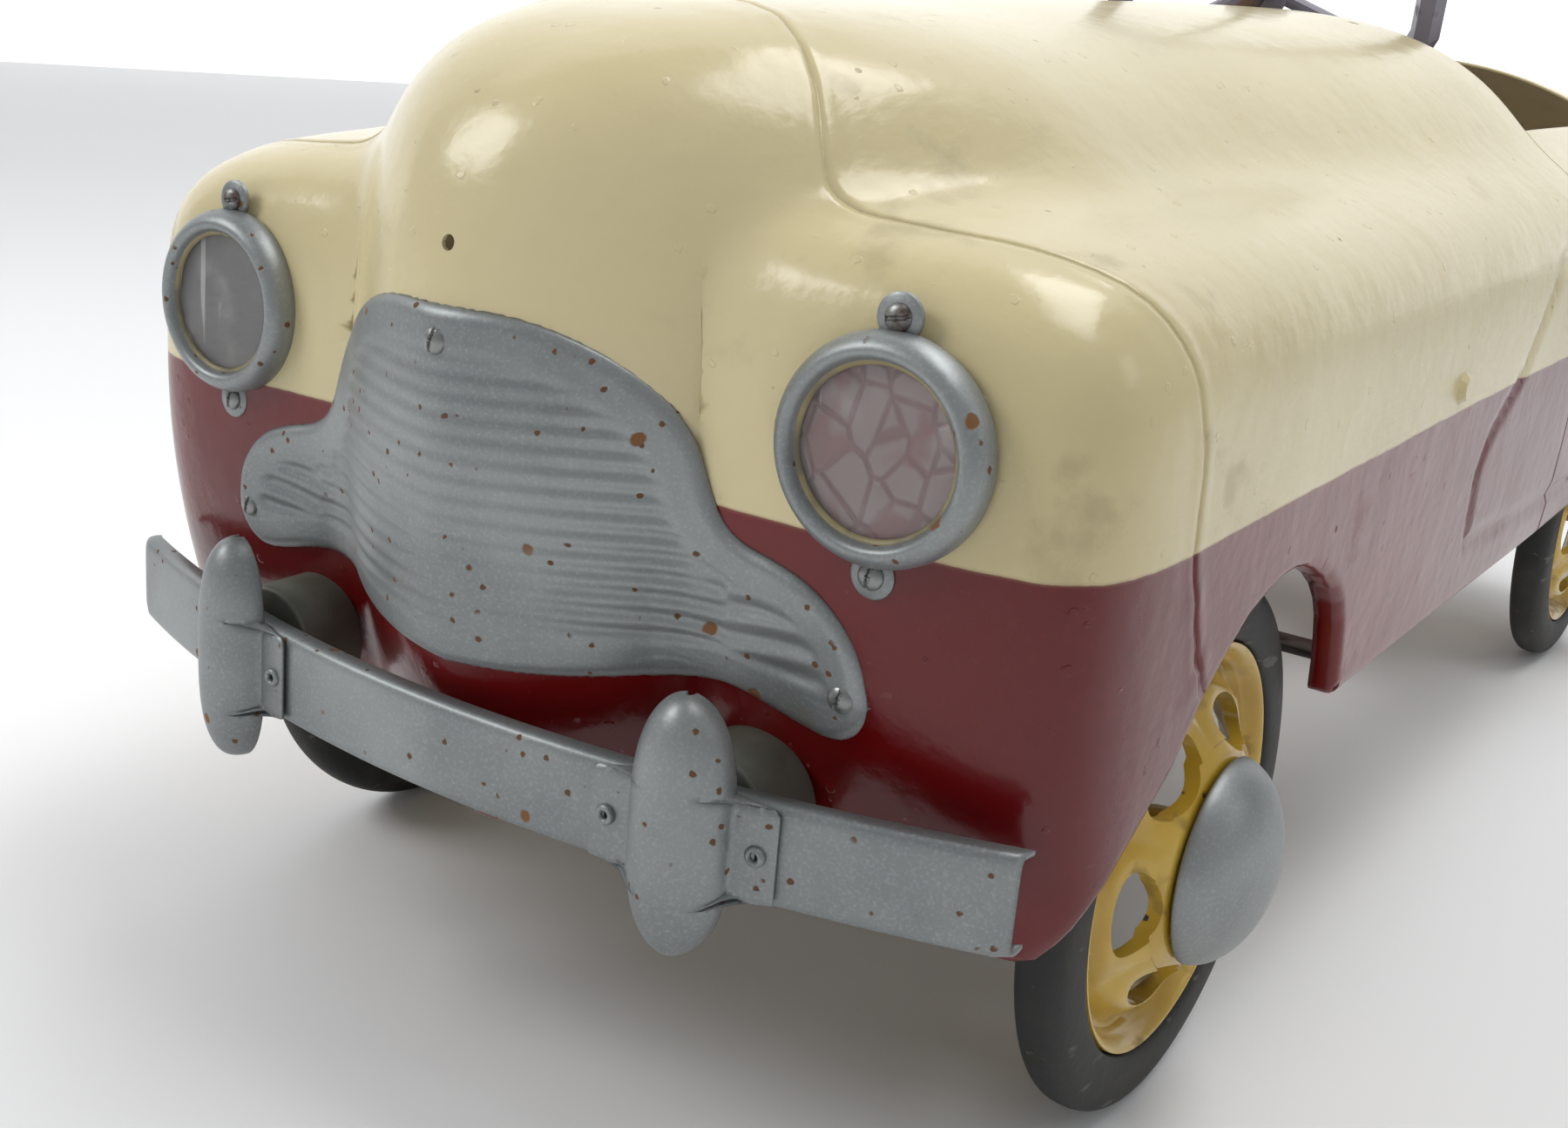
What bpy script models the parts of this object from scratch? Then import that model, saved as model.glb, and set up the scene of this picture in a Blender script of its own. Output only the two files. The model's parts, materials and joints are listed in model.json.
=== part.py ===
"""A child's pedal car of pressed steel, modelled as its separate pieces.

Metres, +Z up, the nose towards -Y and the car's left side towards +X. The origin lies on the ground
under the middle of the car. A moving piece has its origin on its own joint's axis.
"""

import functools
import math

import bmesh
import bpy
from mathutils import Matrix, Vector

MM = 0.001
SIDES = (("left", 1), ("right", -1))

# Driving dimensions
WHEELBASE = 672 * MM
LENGTH_AHEAD = 203 * MM  # from the front axle to the overriders
LENGTH_BEHIND = 810 * MM  # from the front axle to the tail
FRONT_AXLE_Y = (LENGTH_AHEAD - LENGTH_BEHIND) / 2
REAR_AXLE_Y = FRONT_AXLE_Y + WHEELBASE
WHEEL_RADIUS = 100 * MM
HALF_WIDTH = 207 * MM
SHEET = 1.6 * MM
GAP = 0.3 * MM  # between pieces that touch
CLEAR = 0.3 * MM  # radial, between a shaft and its hole

# Body outline
WAIST_Z = 235 * MM  # the paint line, and the centre that each cross-section is drawn from
WING_TOP = 92 * MM  # above the waist
BONNET_TOP = 148 * MM
BONNET_HALF = 150 * MM
COWL_HALF = 184 * MM
WING_NOSE = 156 * MM  # ahead of the front axle
BONNET_NOSE = 192 * MM
SILL_Z = 136 * MM
NOSE_SILL_Z = 104 * MM
TUCK = 3 * MM
NOSE_TUCK = 30 * MM
WELD_Y = FRONT_AXLE_Y - 95 * MM
COWL_Y = FRONT_AXLE_Y + 425 * MM
TAIL_LENGTH = 152 * MM
TAIL_END_Y = FRONT_AXLE_Y + LENGTH_BEHIND
TAIL_CENTRE_Y = TAIL_END_Y - TAIL_LENGTH
COCKPIT_REAR_Y = REAR_AXLE_Y - 7 * MM
TAIL_TOP = 132 * MM
COCKPIT_EDGE = math.radians(32)  # where the side panels end, up from the waist
ARCH_GAP = 9 * MM  # around the rear tyres

# Running gear
TYRE_WIDTH = 20 * MM
TYRE_X = 182 * MM  # the middle of each tyre
RIM_RADIUS = 77 * MM
HOLES = 6
HOLE_RING = 49 * MM  # from the wheel's centre to the middle of each hole
HOLE_ALONG = 17 * MM  # half the hole's length
HOLE_ACROSS = 9.5 * MM
BORE = 6 * MM
SHAFT = BORE - CLEAR
KINGPIN_X = 140 * MM
KINGPIN = 5 * MM
BEAM_Z = (90 * MM, 105.7 * MM)
BEAM_HALF = 7 * MM
PLATE = 4 * MM
RAIL_X = 88 * MM
RAIL_HALF = 4 * MM
RAIL_AHEAD = 108 * MM  # of the front axle
RAIL_Z = (BEAM_Z[1] + GAP, BEAM_Z[1] + GAP + 18 * MM)
STEER_ARM = 62 * MM
CRANK_RADIUS = 38 * MM
CRANK_X = 60 * MM
PEDAL_PIVOT_Y = FRONT_AXLE_Y + 196 * MM
PEDAL_PIVOT_Z = 245 * MM
PIVOT_ROD = 4.7 * MM
PAD_REACH = 92 * MM
STEERING_WHEEL_Y = FRONT_AXLE_Y + 490 * MM
STEERING_WHEEL_Z = 406 * MM
STEERING_WHEEL_RADIUS = 92 * MM
COLUMN = 6 * MM
DROP_PIN = 3.5 * MM

# Front trim
LIGHT_X = 140.8 * MM
LIGHT_Z = 264 * MM
LIGHT_RADIUS = 34.4 * MM
LENS_OPENING = 25.7 * MM
LIGHT_DEPTH = 12 * MM
LUG_REACH = 37.9 * MM
BUMPER_HALF = 197.5 * MM
BUMPER_Z = (122.5 * MM, 157.4 * MM)
BUMPER_NOSE = 197 * MM  # ahead of the front axle, in the middle
BUMPER_BOW = 39 * MM
OVERRIDER_X = 101.5 * MM
OVERRIDER_Z = (100.5 * MM, 186.5 * MM)
SPACER_RADIUS = 23 * MM
GRILLE_SHEET = 1.2 * MM
GRILLE_OFF = 2.6 * MM  # from the nose to the back of the grille

COLOURS = {
    "cream_paint": ((0.82, 0.74, 0.52), 0.25, 0.0),
    "red_paint": ((0.34, 0.02, 0.02), 0.25, 0.0),
    "silver_paint": ((0.36, 0.38, 0.39), 0.4, 0.5),
    "yellow_paint": ((0.62, 0.42, 0.06), 0.4, 0.0),
    "black_rubber": ((0.02, 0.02, 0.02), 0.8, 0.0),
    "dull_steel": ((0.2, 0.19, 0.17), 0.55, 0.9),
    "clear_lens": ((0.25, 0.2, 0.2), 0.15, 0.0),
    "grey_plastic": ((0.2, 0.2, 0.23), 0.4, 0.0),
}


def material(name):
    made = bpy.data.materials.get(name)
    if made:
        return made
    made = bpy.data.materials.new(name)
    made.use_nodes = True
    colour, roughness, metallic = COLOURS[name]
    shader = made.node_tree.nodes["Principled BSDF"]
    shader.inputs["Base Color"].default_value = (*colour, 1)
    shader.inputs["Roughness"].default_value = roughness
    shader.inputs["Metallic"].default_value = metallic
    return made


def finish(name, bm, finish_name, origin=(0, 0, 0), smooth=35):
    """Makes an object of a bmesh drawn in world coordinates, with its origin at the point given."""
    bmesh.ops.recalc_face_normals(bm, faces=bm.faces)
    bmesh.ops.translate(bm, verts=bm.verts, vec=-Vector(origin))
    mesh = bpy.data.meshes.new(name)
    bm.to_mesh(mesh)
    bm.free()
    mesh.shade_smooth()
    mesh.set_sharp_from_angle(angle=math.radians(smooth))
    made = bpy.data.objects.new(name, mesh)
    made.location = origin
    made.data.materials.append(material(finish_name))
    bpy.context.scene.collection.objects.link(made)
    return made


def cut(target, cutter, operation="DIFFERENCE"):
    cutter.hide_render = True
    cutter.display_type = "WIRE"
    boolean = target.modifiers.new("cut_" + cutter.name, "BOOLEAN")
    boolean.object = cutter
    boolean.operation = operation
    boolean.solver = "EXACT"


def cuboid(bm, low, high):
    made = bmesh.ops.create_cube(bm, size=1)["verts"]
    low, high = Vector(low), Vector(high)
    bmesh.ops.scale(bm, verts=made, vec=high - low)
    bmesh.ops.translate(bm, verts=made, vec=(low + high) / 2)
    return made


def block(name, low, high, finish_name, origin=(0, 0, 0)):
    bm = bmesh.new()
    cuboid(bm, low, high)
    return finish(name, bm, finish_name, origin)


def rod(bm, start, end, radius, sides=16, end_radius=None):
    start, end = Vector(start), Vector(end)
    along = end - start
    made = bmesh.ops.create_cone(
        bm,
        cap_ends=True,
        segments=sides,
        radius1=radius,
        radius2=radius if end_radius is None else end_radius,
        depth=along.length,
    )["verts"]
    turn = along.to_track_quat("Z", "Y").to_matrix()
    bmesh.ops.rotate(bm, verts=made, matrix=turn)
    bmesh.ops.translate(bm, verts=made, vec=(start + end) / 2)
    return made


def rod_object(name, start, end, radius, finish_name, sides=16, origin=(0, 0, 0)):
    bm = bmesh.new()
    rod(bm, start, end, radius, sides)
    return finish(name, bm, finish_name, origin)


def union(name, shapes, finish_name, origin=(0, 0, 0)):
    """Joins closed shapes that overlap into one body. Each shape is a function that draws in a bmesh."""
    bm = bmesh.new()
    shapes[0](bm)
    target = finish(name, bm, finish_name, origin)
    for number, draw in enumerate(shapes[1:]):
        part = bmesh.new()
        draw(part)
        helper = finish(f"{name}_join{number}", part, finish_name, origin)
        cut(target, helper, "UNION")
    return target


def drill(target, start, end, radius, sides=16):
    bm = bmesh.new()
    rod(bm, start, end, radius, sides)
    number = len(target.modifiers)
    cut(target, finish(f"{target.name}_drill{number}", bm, "dull_steel"))


def lathe(name, profile, centre, finish_name, sides, flip=1):
    """Turns a closed outline of (distance out along X, radius) points about a line parallel to X.

    flip is -1 on the right side of the car. Each ring has a flat, not a corner, at its lowest place.
    """
    bm = bmesh.new()
    ring = [bm.verts.new((flip * out, 0, radius)) for out, radius in profile]
    edges = [bm.edges.new((ring[i], ring[(i + 1) % len(ring)])) for i in range(len(ring))]
    bmesh.ops.spin(
        bm, geom=ring + edges, axis=(1, 0, 0), cent=(0, 0, 0), angle=math.tau, steps=sides, use_merge=True
    )
    bmesh.ops.remove_doubles(bm, verts=bm.verts, dist=0.01 * MM)
    bmesh.ops.rotate(bm, verts=bm.verts, matrix=Matrix.Rotation(math.pi / sides, 3, "X"))
    bmesh.ops.translate(bm, verts=bm.verts, vec=centre)
    return finish(name, bm, finish_name, centre)


def plate(bm, outline, thickness, to_world):
    """Extrudes a flat outline along its own +Z, then places it."""
    face = bm.faces.new([bm.verts.new((u, v, 0)) for u, v in outline])
    grown = bmesh.ops.extrude_face_region(bm, geom=[face])["geom"]
    top = [v for v in grown if isinstance(v, bmesh.types.BMVert)]
    bmesh.ops.translate(bm, verts=top, vec=(0, 0, thickness))
    bmesh.ops.transform(bm, matrix=to_world, verts=bm.verts)


SIDEWAYS = Matrix(((0, 0, 1, 0), (1, 0, 0, 0), (0, 1, 0, 0), (0, 0, 0, 1)))  # U to Y, V to Z


def smooth_step(value, low, high):
    share = min(1, max(0, (value - low) / (high - low)))
    return share * share * (3 - 2 * share)


def rounded_end(distance, length, power):
    """1 at the thick end of a rounded nose, falling to 0 at its tip."""
    share = min(1, max(0, distance / length))
    return (1 - share**power) ** (1 / power)


def body_shape(y):
    """The half-widths and heights of the wings and the bonnet at one station along the car."""
    ahead, behind = FRONT_AXLE_Y - y, y - TAIL_CENTRE_Y
    widen = smooth_step(y, FRONT_AXLE_Y, COWL_Y)
    tail = smooth_step(y, COWL_Y, COCKPIT_REAR_Y)
    if ahead > 0:
        wing_plan, wing_side = rounded_end(ahead, WING_NOSE, 10), rounded_end(ahead, WING_NOSE, 6)
        bonnet_plan, bonnet_side = rounded_end(ahead, BONNET_NOSE, 1.75), rounded_end(ahead, BONNET_NOSE, 4)
    else:
        wing_plan, wing_side = rounded_end(behind, TAIL_LENGTH, 5), rounded_end(behind, TAIL_LENGTH, 4)
        bonnet_plan, bonnet_side = rounded_end(behind, TAIL_LENGTH, 3), rounded_end(behind, TAIL_LENGTH, 2.4)
    nose = 1 - smooth_step(y, FRONT_AXLE_Y - WING_NOSE, FRONT_AXLE_Y)
    return {
        "wing_half": HALF_WIDTH * wing_plan,
        "wing_top": (WING_TOP + (TAIL_TOP - WING_TOP) * 0.15 * tail) * wing_side,
        "bonnet_half": (BONNET_HALF + (COWL_HALF - BONNET_HALF) * widen) * bonnet_plan,
        "bonnet_top": (BONNET_TOP + 7 * MM * widen + (TAIL_TOP - BONNET_TOP - 7 * MM) * tail) * bonnet_side,
        "sill": SILL_Z + (NOSE_SILL_Z - SILL_Z) * nose,
        "tuck": TUCK,
        "back": NOSE_TUCK * smooth_step(ahead, 100 * MM, WING_NOSE),
    }


def oval(angle, half, top, power):
    if half < 1e-9 or top < 1e-9:
        return 0.0
    return (abs(math.cos(angle) / half) ** power + abs(math.sin(angle) / top) ** power) ** (-1 / power)


def body_point(y, angle):
    """A point of the body's outer surface above the waist; angle 0 is the side and a right angle the top."""
    shape = body_shape(y)
    wing = oval(angle, shape["wing_half"], shape["wing_top"], 5)
    bonnet = oval(angle, shape["bonnet_half"], shape["bonnet_top"], 2.8)
    blend = 14
    reach = (wing**blend + bonnet**blend) ** (1 / blend) if max(wing, bonnet) > 0 else 0
    return Vector((reach * math.cos(angle), y, WAIST_Z + reach * math.sin(angle)))


def skirt_point(y, share):
    """A point of the outer surface below the waist; share runs from 0 at the waist to 1 at the sill."""
    shape = body_shape(y)
    half = body_point(y, 0).x
    tuck = min(shape["tuck"] * share**3, half)
    return Vector((half - tuck, y + shape["back"] * share**2, WAIST_Z + (shape["sill"] - WAIST_Z) * share))


def front_y(x, z):
    """Where the nose's outer surface lies, straight ahead of a point given by x and z."""
    near, far = WELD_Y, FRONT_AXLE_Y - BONNET_NOSE
    share = max(0, (WAIST_Z - z) / (WAIST_Z - NOSE_SILL_Z))
    up = max(z, WAIST_Z) - WAIST_Z
    distance, angle = math.hypot(x, up), math.atan2(up, abs(x))
    for _ in range(30):
        middle = (near + far) / 2
        point = body_point(middle, angle)
        if math.hypot(point.x, point.z - WAIST_Z) > distance:
            near = middle
        else:
            far = middle
    return near + body_shape(near)["back"] * share**2


def shell(name, stations, angles, shares, finish_name, sides=2):
    """A pressed sheet: rings of points along the car, skinned and thickened inwards.

    sides is 2 for a sheet that spans the car, 1 for the left side alone and -1 for the right.
    """
    bm = bmesh.new()
    rings = []
    for y in stations:
        half = [skirt_point(y, share) for share in reversed(shares)]
        half += [body_point(y, angle) for angle in angles]
        if sides == 2:
            points = half + [Vector((-p.x, p.y, p.z)) for p in reversed(half[:-1])]
        else:
            points = [Vector((sides * p.x, p.y, p.z)) for p in half]
        rings.append([bm.verts.new(p) for p in points])
    turn = 1 if sides == -1 else -1
    for one, two in zip(rings, rings[1:]):
        for i in range(len(one) - 1):
            bm.faces.new((one[i], one[i + 1], two[i + 1], two[i])[::turn])
    bmesh.ops.remove_doubles(bm, verts=bm.verts, dist=0.3 * MM)
    bmesh.ops.dissolve_degenerate(bm, edges=bm.edges, dist=0.05 * MM)
    mesh = bpy.data.meshes.new(name)
    bm.to_mesh(mesh)
    bm.free()
    mesh.shade_smooth()
    made = bpy.data.objects.new(name, mesh)
    made.data.materials.append(material(finish_name))
    bpy.context.scene.collection.objects.link(made)
    thick = made.modifiers.new("sheet", "SOLIDIFY")
    thick.thickness = SHEET
    thick.offset = -1
    return made


def steps(low, high, count):
    return [low + (high - low) * i / count for i in range(count + 1)]


def end_steps(centre, length, direction, count, start=0.0):
    """Stations towards a rounded end, closer together near its tip."""
    low = math.asin(start)
    return [centre + direction * length * math.sin(low + (math.pi / 2 - low) * i / count) for i in range(count + 1)]


ABOVE = [math.radians(a) for a in (0, 9, 17, 22, 27, 34, 43, 54, 66, 78, 90)]
BELOW = [0.3, 0.6, 0.82, 1.0]
SIDE_ABOVE = [COCKPIT_EDGE * i / 4 for i in range(5)]


def arch_cutter(name, outline):
    """Cuts one side of the body from outside, through its skirt."""
    bm = bmesh.new()
    plate(bm, outline, 2 * HALF_WIDTH + 40 * MM, SIDEWAYS)
    bmesh.ops.translate(bm, verts=bm.verts, vec=(-HALF_WIDTH - 20 * MM, 0, 0))
    return finish(name, bm, "dull_steel")


def front_arch():
    """The slanted opening over a front wheel, as Y and Z."""
    ahead = [(-119, 60), (-119, 101), (-119.7, 112), (-118.4, 124.6), (-112, 133.8), (-95.7, 147.4)]
    over = [(-75, 161.4), (-59, 180.4), (-45, 190), (-27.4, 201), (-10.8, 205), (3, 207.2), (16, 207.4)]
    behind = [(30, 205.5), (44, 201), (58, 195), (70, 188), (80, 179.5), (87, 170.5), (92, 161), (98, 149), (104, 133)]
    points = ahead + over + behind + [(104, 60)]
    return [(FRONT_AXLE_Y + u * MM, v * MM) for u, v in points]


def rear_arch():
    radius = WHEEL_RADIUS + ARCH_GAP
    curve = [math.radians(a) for a in range(-20, 201, 20)]
    return [(REAR_AXLE_Y + radius * math.cos(a), WHEEL_RADIUS + radius * math.sin(a)) for a in curve]


def body():
    tip = end_steps(FRONT_AXLE_Y, BONNET_NOSE, -1, 9, 0.56)
    nose_stations = [WELD_Y - GAP / 2, FRONT_AXLE_Y - 125 * MM, FRONT_AXLE_Y - 143 * MM]
    nose_stations += [FRONT_AXLE_Y - v * MM for v in (151, 154.5, 156)]
    nose_stations += [y for y in tip if y < FRONT_AXLE_Y - 159 * MM]
    nose = shell("nose_pressing", nose_stations[::-1], ABOVE, BELOW, "cream_paint")
    bonnet_stations = [WELD_Y + GAP / 2, FRONT_AXLE_Y - 50 * MM] + steps(FRONT_AXLE_Y, COWL_Y - GAP / 2, 4)
    bonnet = shell("bonnet_and_wings", bonnet_stations, ABOVE, BELOW, "cream_paint")
    side_stations = steps(COWL_Y + GAP / 2, COCKPIT_REAR_Y - GAP / 2, 4)
    sides = [shell(f"side_panel_{n}", side_stations, SIDE_ABOVE, BELOW, "cream_paint", s) for n, s in SIDES]
    tail_stations = [COCKPIT_REAR_Y + GAP / 2] + end_steps(TAIL_CENTRE_Y, TAIL_LENGTH, 1, 7)[1:]
    tail = shell("tail_pressing", tail_stations, ABOVE, BELOW, "cream_paint")
    front = arch_cutter("front_arch_cutter", front_arch())
    rear = arch_cutter("rear_arch_cutter", rear_arch())
    cut(nose, front)
    cut(bonnet, front)
    for panel in (*sides, tail):
        cut(panel, rear)
    return nose, bonnet


def column_line():
    """A point on the steering column's axis, its direction down and forwards, and the drop arm's direction."""
    start = Vector((0, STEERING_WHEEL_Y, STEERING_WHEEL_Z))
    foot = Vector((0, FRONT_AXLE_Y + 41 * MM, RAIL_Z[1] + 2 * MM))
    along = (foot - start).normalized()
    return start, foot, along, Vector((1, 0, 0)).cross(along)


def chassis():
    for name, side in SIDES:
        x = side * RAIL_X
        low = (x - RAIL_HALF, FRONT_AXLE_Y - RAIL_AHEAD, RAIL_Z[0])
        high = (x + RAIL_HALF, REAR_AXLE_Y + 60 * MM, RAIL_Z[1])
        block(f"chassis_rail_{name}", low, high, "dull_steel")
        outer = side * (RAIL_X + RAIL_HALF + GAP)
        ends = sorted((outer, outer + side * 5 * MM))
        bracket = block(
            f"rear_bearing_{name}",
            (ends[0], REAR_AXLE_Y - 16 * MM, WHEEL_RADIUS - 14 * MM),
            (ends[1], REAR_AXLE_Y + 16 * MM, RAIL_Z[1]),
            "dull_steel",
        )
        drill(bracket, (ends[0] - MM, REAR_AXLE_Y, WHEEL_RADIUS), (ends[1] + MM, REAR_AXLE_Y, WHEEL_RADIUS), BORE)
    beam_end = KINGPIN_X + 10 * MM
    beam = block(
        "front_axle_beam",
        (-beam_end, FRONT_AXLE_Y - BEAM_HALF, BEAM_Z[0]),
        (beam_end, FRONT_AXLE_Y + BEAM_HALF, BEAM_Z[1]),
        "dull_steel",
    )
    for _, side in SIDES:
        x = side * KINGPIN_X
        drill(beam, (x, FRONT_AXLE_Y, 60 * MM), (x, FRONT_AXLE_Y, 130 * MM), KINGPIN + CLEAR)
    stay_y = FRONT_AXLE_Y + 124 * MM
    stay_z = SILL_Z + 6 * MM
    stay_half = HALF_WIDTH - TUCK - SHEET - 2 * MM

    def bar(bm):
        cuboid(bm, (-stay_half, stay_y - 8 * MM, stay_z), (stay_half, stay_y + 8 * MM, stay_z + 3 * MM))

    def upright(x, low, high):
        return lambda bm: cuboid(
            bm, (x - 1.5 * MM, stay_y - 8 * MM, low), (x + 1.5 * MM, stay_y + 8 * MM, high)
        )

    tabs = [upright(side * (stay_half - 1.5 * MM), stay_z, stay_z + 30 * MM) for _, side in SIDES]
    feet = [upright(side * RAIL_X, RAIL_Z[1] + GAP, stay_z + MM) for _, side in SIDES]
    union("body_stay", [bar, *tabs, *feet], "dull_steel")


def steering():
    start, foot, along, drop = column_line()
    pin_y = FRONT_AXLE_Y + STEER_ARM
    rod_z = (BEAM_Z[0] + GAP, BEAM_Z[0] + GAP + 5 * MM)
    for name, side in SIDES:
        x = side * KINGPIN_X
        web = (x + side * 13.2 * MM, x + side * 19 * MM)

        def cuboid_at(a, b, y0, y1, z0, z1):
            ends = sorted((a, b))
            return lambda bm: cuboid(bm, (ends[0], y0, z0), (ends[1], y1, z1))

        low, high = BEAM_Z[0] - GAP, BEAM_Z[1] + GAP
        near, far = FRONT_AXLE_Y - 9 * MM, FRONT_AXLE_Y + 9 * MM
        top = cuboid_at(x - side * 9 * MM, web[1], near, far, high, high + PLATE)
        bottom = cuboid_at(x - side * 9 * MM, web[1], near, far, low - PLATE, low)
        middle = cuboid_at(*web, near, far, low - PLATE, high + PLATE)
        arm = cuboid_at(x - 7 * MM, x + 7 * MM, FRONT_AXLE_Y, pin_y + 8 * MM, low - PLATE, low)
        kingpin = (x, FRONT_AXLE_Y)
        union(
            f"steering_knuckle_{name}",
            [
                middle,
                top,
                bottom,
                arm,
                lambda bm: rod(bm, (*kingpin, low - 2 * MM), (*kingpin, high + 2 * MM), KINGPIN),
                lambda bm: rod(bm, (x, pin_y, low - 2 * MM), (x, pin_y, rod_z[1] + 3 * MM), 4 * MM, 12),
                lambda bm: rod(
                    bm,
                    (web[0] + side * 2 * MM, FRONT_AXLE_Y, WHEEL_RADIUS),
                    (side * (TYRE_X + 17 * MM), FRONT_AXLE_Y, WHEEL_RADIUS),
                    SHAFT,
                ),
            ],
            "dull_steel",
            origin=(x, FRONT_AXLE_Y, WHEEL_RADIUS),
        )
    rod_end = KINGPIN_X + 8 * MM
    track = union(
        "track_rod",
        [
            lambda bm: cuboid(bm, (-rod_end, pin_y - 7 * MM, rod_z[0]), (rod_end, pin_y + 7 * MM, rod_z[1])),
            lambda bm: cuboid(bm, (-12 * MM, pin_y - 14 * MM, rod_z[0]), (12 * MM, pin_y + 14 * MM, rod_z[1])),
        ],
        "dull_steel",
        origin=(KINGPIN_X, pin_y, rod_z[0]),
    )
    for _, side in SIDES:
        x = side * KINGPIN_X
        drill(track, (x, pin_y, 60 * MM), (x, pin_y, 130 * MM), 4 * MM + CLEAR, 12)
    slot_half = DROP_PIN + 3.5 * MM
    low, high = (-slot_half, pin_y - 9 * MM, 60 * MM), (slot_half, pin_y + 9 * MM, 130 * MM)
    slot = block("slot_cutter", low, high, "dull_steel")
    cut(track, slot)
    middle_z = (rod_z[0] + rod_z[1]) / 2
    reach = (foot.z - middle_z) / -drop.z
    tip = foot + drop * (reach + 8 * MM)
    union(
        "steering_column",
        [
            lambda bm: rod(bm, start + along * 12 * MM, foot + along * 12 * MM, COLUMN),
            lambda bm: rod(bm, foot, tip, DROP_PIN, 12),
        ],
        "dull_steel",
        origin=foot,
    )
    upstand_y = FRONT_AXLE_Y + 92 * MM
    share = (upstand_y - foot.y) / (start.y - foot.y)
    at = foot.lerp(start, share)
    bracket = union(
        "steering_bracket",
        [
            lambda bm: cuboid(
                bm,
                (-RAIL_X - RAIL_HALF, upstand_y - 7 * MM, RAIL_Z[1] + GAP),
                (RAIL_X + RAIL_HALF, upstand_y + 7 * MM, RAIL_Z[1] + GAP + 3 * MM),
            ),
            lambda bm: cuboid(
                bm,
                (-14 * MM, upstand_y - 3 * MM, RAIL_Z[1] + MM),
                (14 * MM, upstand_y + 3 * MM, at.z + 16 * MM),
            ),
        ],
        "dull_steel",
    )
    drill(bracket, at - along * 40 * MM, at + along * 40 * MM, COLUMN + CLEAR)
    steering_wheel(start, along)
    dash(start, along)


def steering_wheel(start, along):
    face = along.to_track_quat("Z", "Y").to_matrix()

    def rim(bm):
        circle = []
        for a in (math.tau * i / 6 for i in range(6)):
            out, up = STEERING_WHEEL_RADIUS + 8 * MM * math.cos(a), 8 * MM * math.sin(a)
            circle.append(bm.verts.new((out, 0, up)))
        edges = [bm.edges.new((circle[i], circle[(i + 1) % 6])) for i in range(6)]
        bmesh.ops.spin(
            bm, geom=circle + edges, axis=(0, 0, 1), cent=(0, 0, 0), angle=math.tau, steps=20, use_merge=True
        )
        bmesh.ops.remove_doubles(bm, verts=bm.verts, dist=0.01 * MM)
        bmesh.ops.rotate(bm, verts=bm.verts, matrix=face)
        bmesh.ops.translate(bm, verts=bm.verts, vec=start)

    shapes = [rim, lambda bm: rod(bm, start - along * 2 * MM, start + along * 11.7 * MM, 17 * MM, 20)]
    for turn in (90, 210, 330):
        out = face @ Vector((math.cos(math.radians(turn)), math.sin(math.radians(turn)), 0))
        shapes.append(lambda bm, out=out: rod(
            bm, start + along * 5 * MM + out * 8 * MM, start + out * (STEERING_WHEEL_RADIUS - MM), 4 * MM, 10
        ))
    union("steering_wheel", shapes, "grey_plastic", origin=start)
    bm = bmesh.new()
    back = start - along * (2 * MM + GAP)
    rod(bm, back, back - along * 9 * MM, 14 * MM, 20, 8 * MM)
    finish("steering_wheel_cap", bm, "red_paint", origin=start)


def dash(start, along):
    """The board under the cowl, which the steering column passes through."""
    y = COWL_Y - 8 * MM
    outline = []
    for angle in [math.radians(24 + 132 * i / 16) for i in range(17)]:
        edge = body_point(y, min(angle, math.pi - angle))
        reach = math.hypot(edge.x, edge.z - WAIST_Z) - SHEET - 2 * MM
        outline.append((reach * math.cos(angle), WAIST_Z + reach * math.sin(angle)))
    bm = bmesh.new()
    plate(bm, outline, 1.5 * MM, Matrix(((1, 0, 0, 0), (0, 0, -1, y), (0, 1, 0, 0), (0, 0, 0, 1))))
    board = finish("dash_panel", bm, "cream_paint")
    at = start + along * ((y - start.y) / along.y)
    drill(board, at - along * 30 * MM, at + along * 30 * MM, COLUMN + MM)


def wheel_hole(name, centre, turn):
    """An oval cutter, longer around the wheel than across."""
    bm = bmesh.new()
    made = rod(bm, (-30 * MM, 0, 0), (30 * MM, 0, 0), HOLE_ACROSS, 12)
    bmesh.ops.scale(bm, verts=made, vec=(1, HOLE_ALONG / HOLE_ACROSS, 1))
    bmesh.ops.translate(bm, verts=made, vec=(0, 0, HOLE_RING))
    bmesh.ops.rotate(bm, verts=made, matrix=Matrix.Rotation(turn, 3, "X"))
    bmesh.ops.translate(bm, verts=made, vec=centre)
    return finish(name, bm, "dull_steel")


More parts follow.
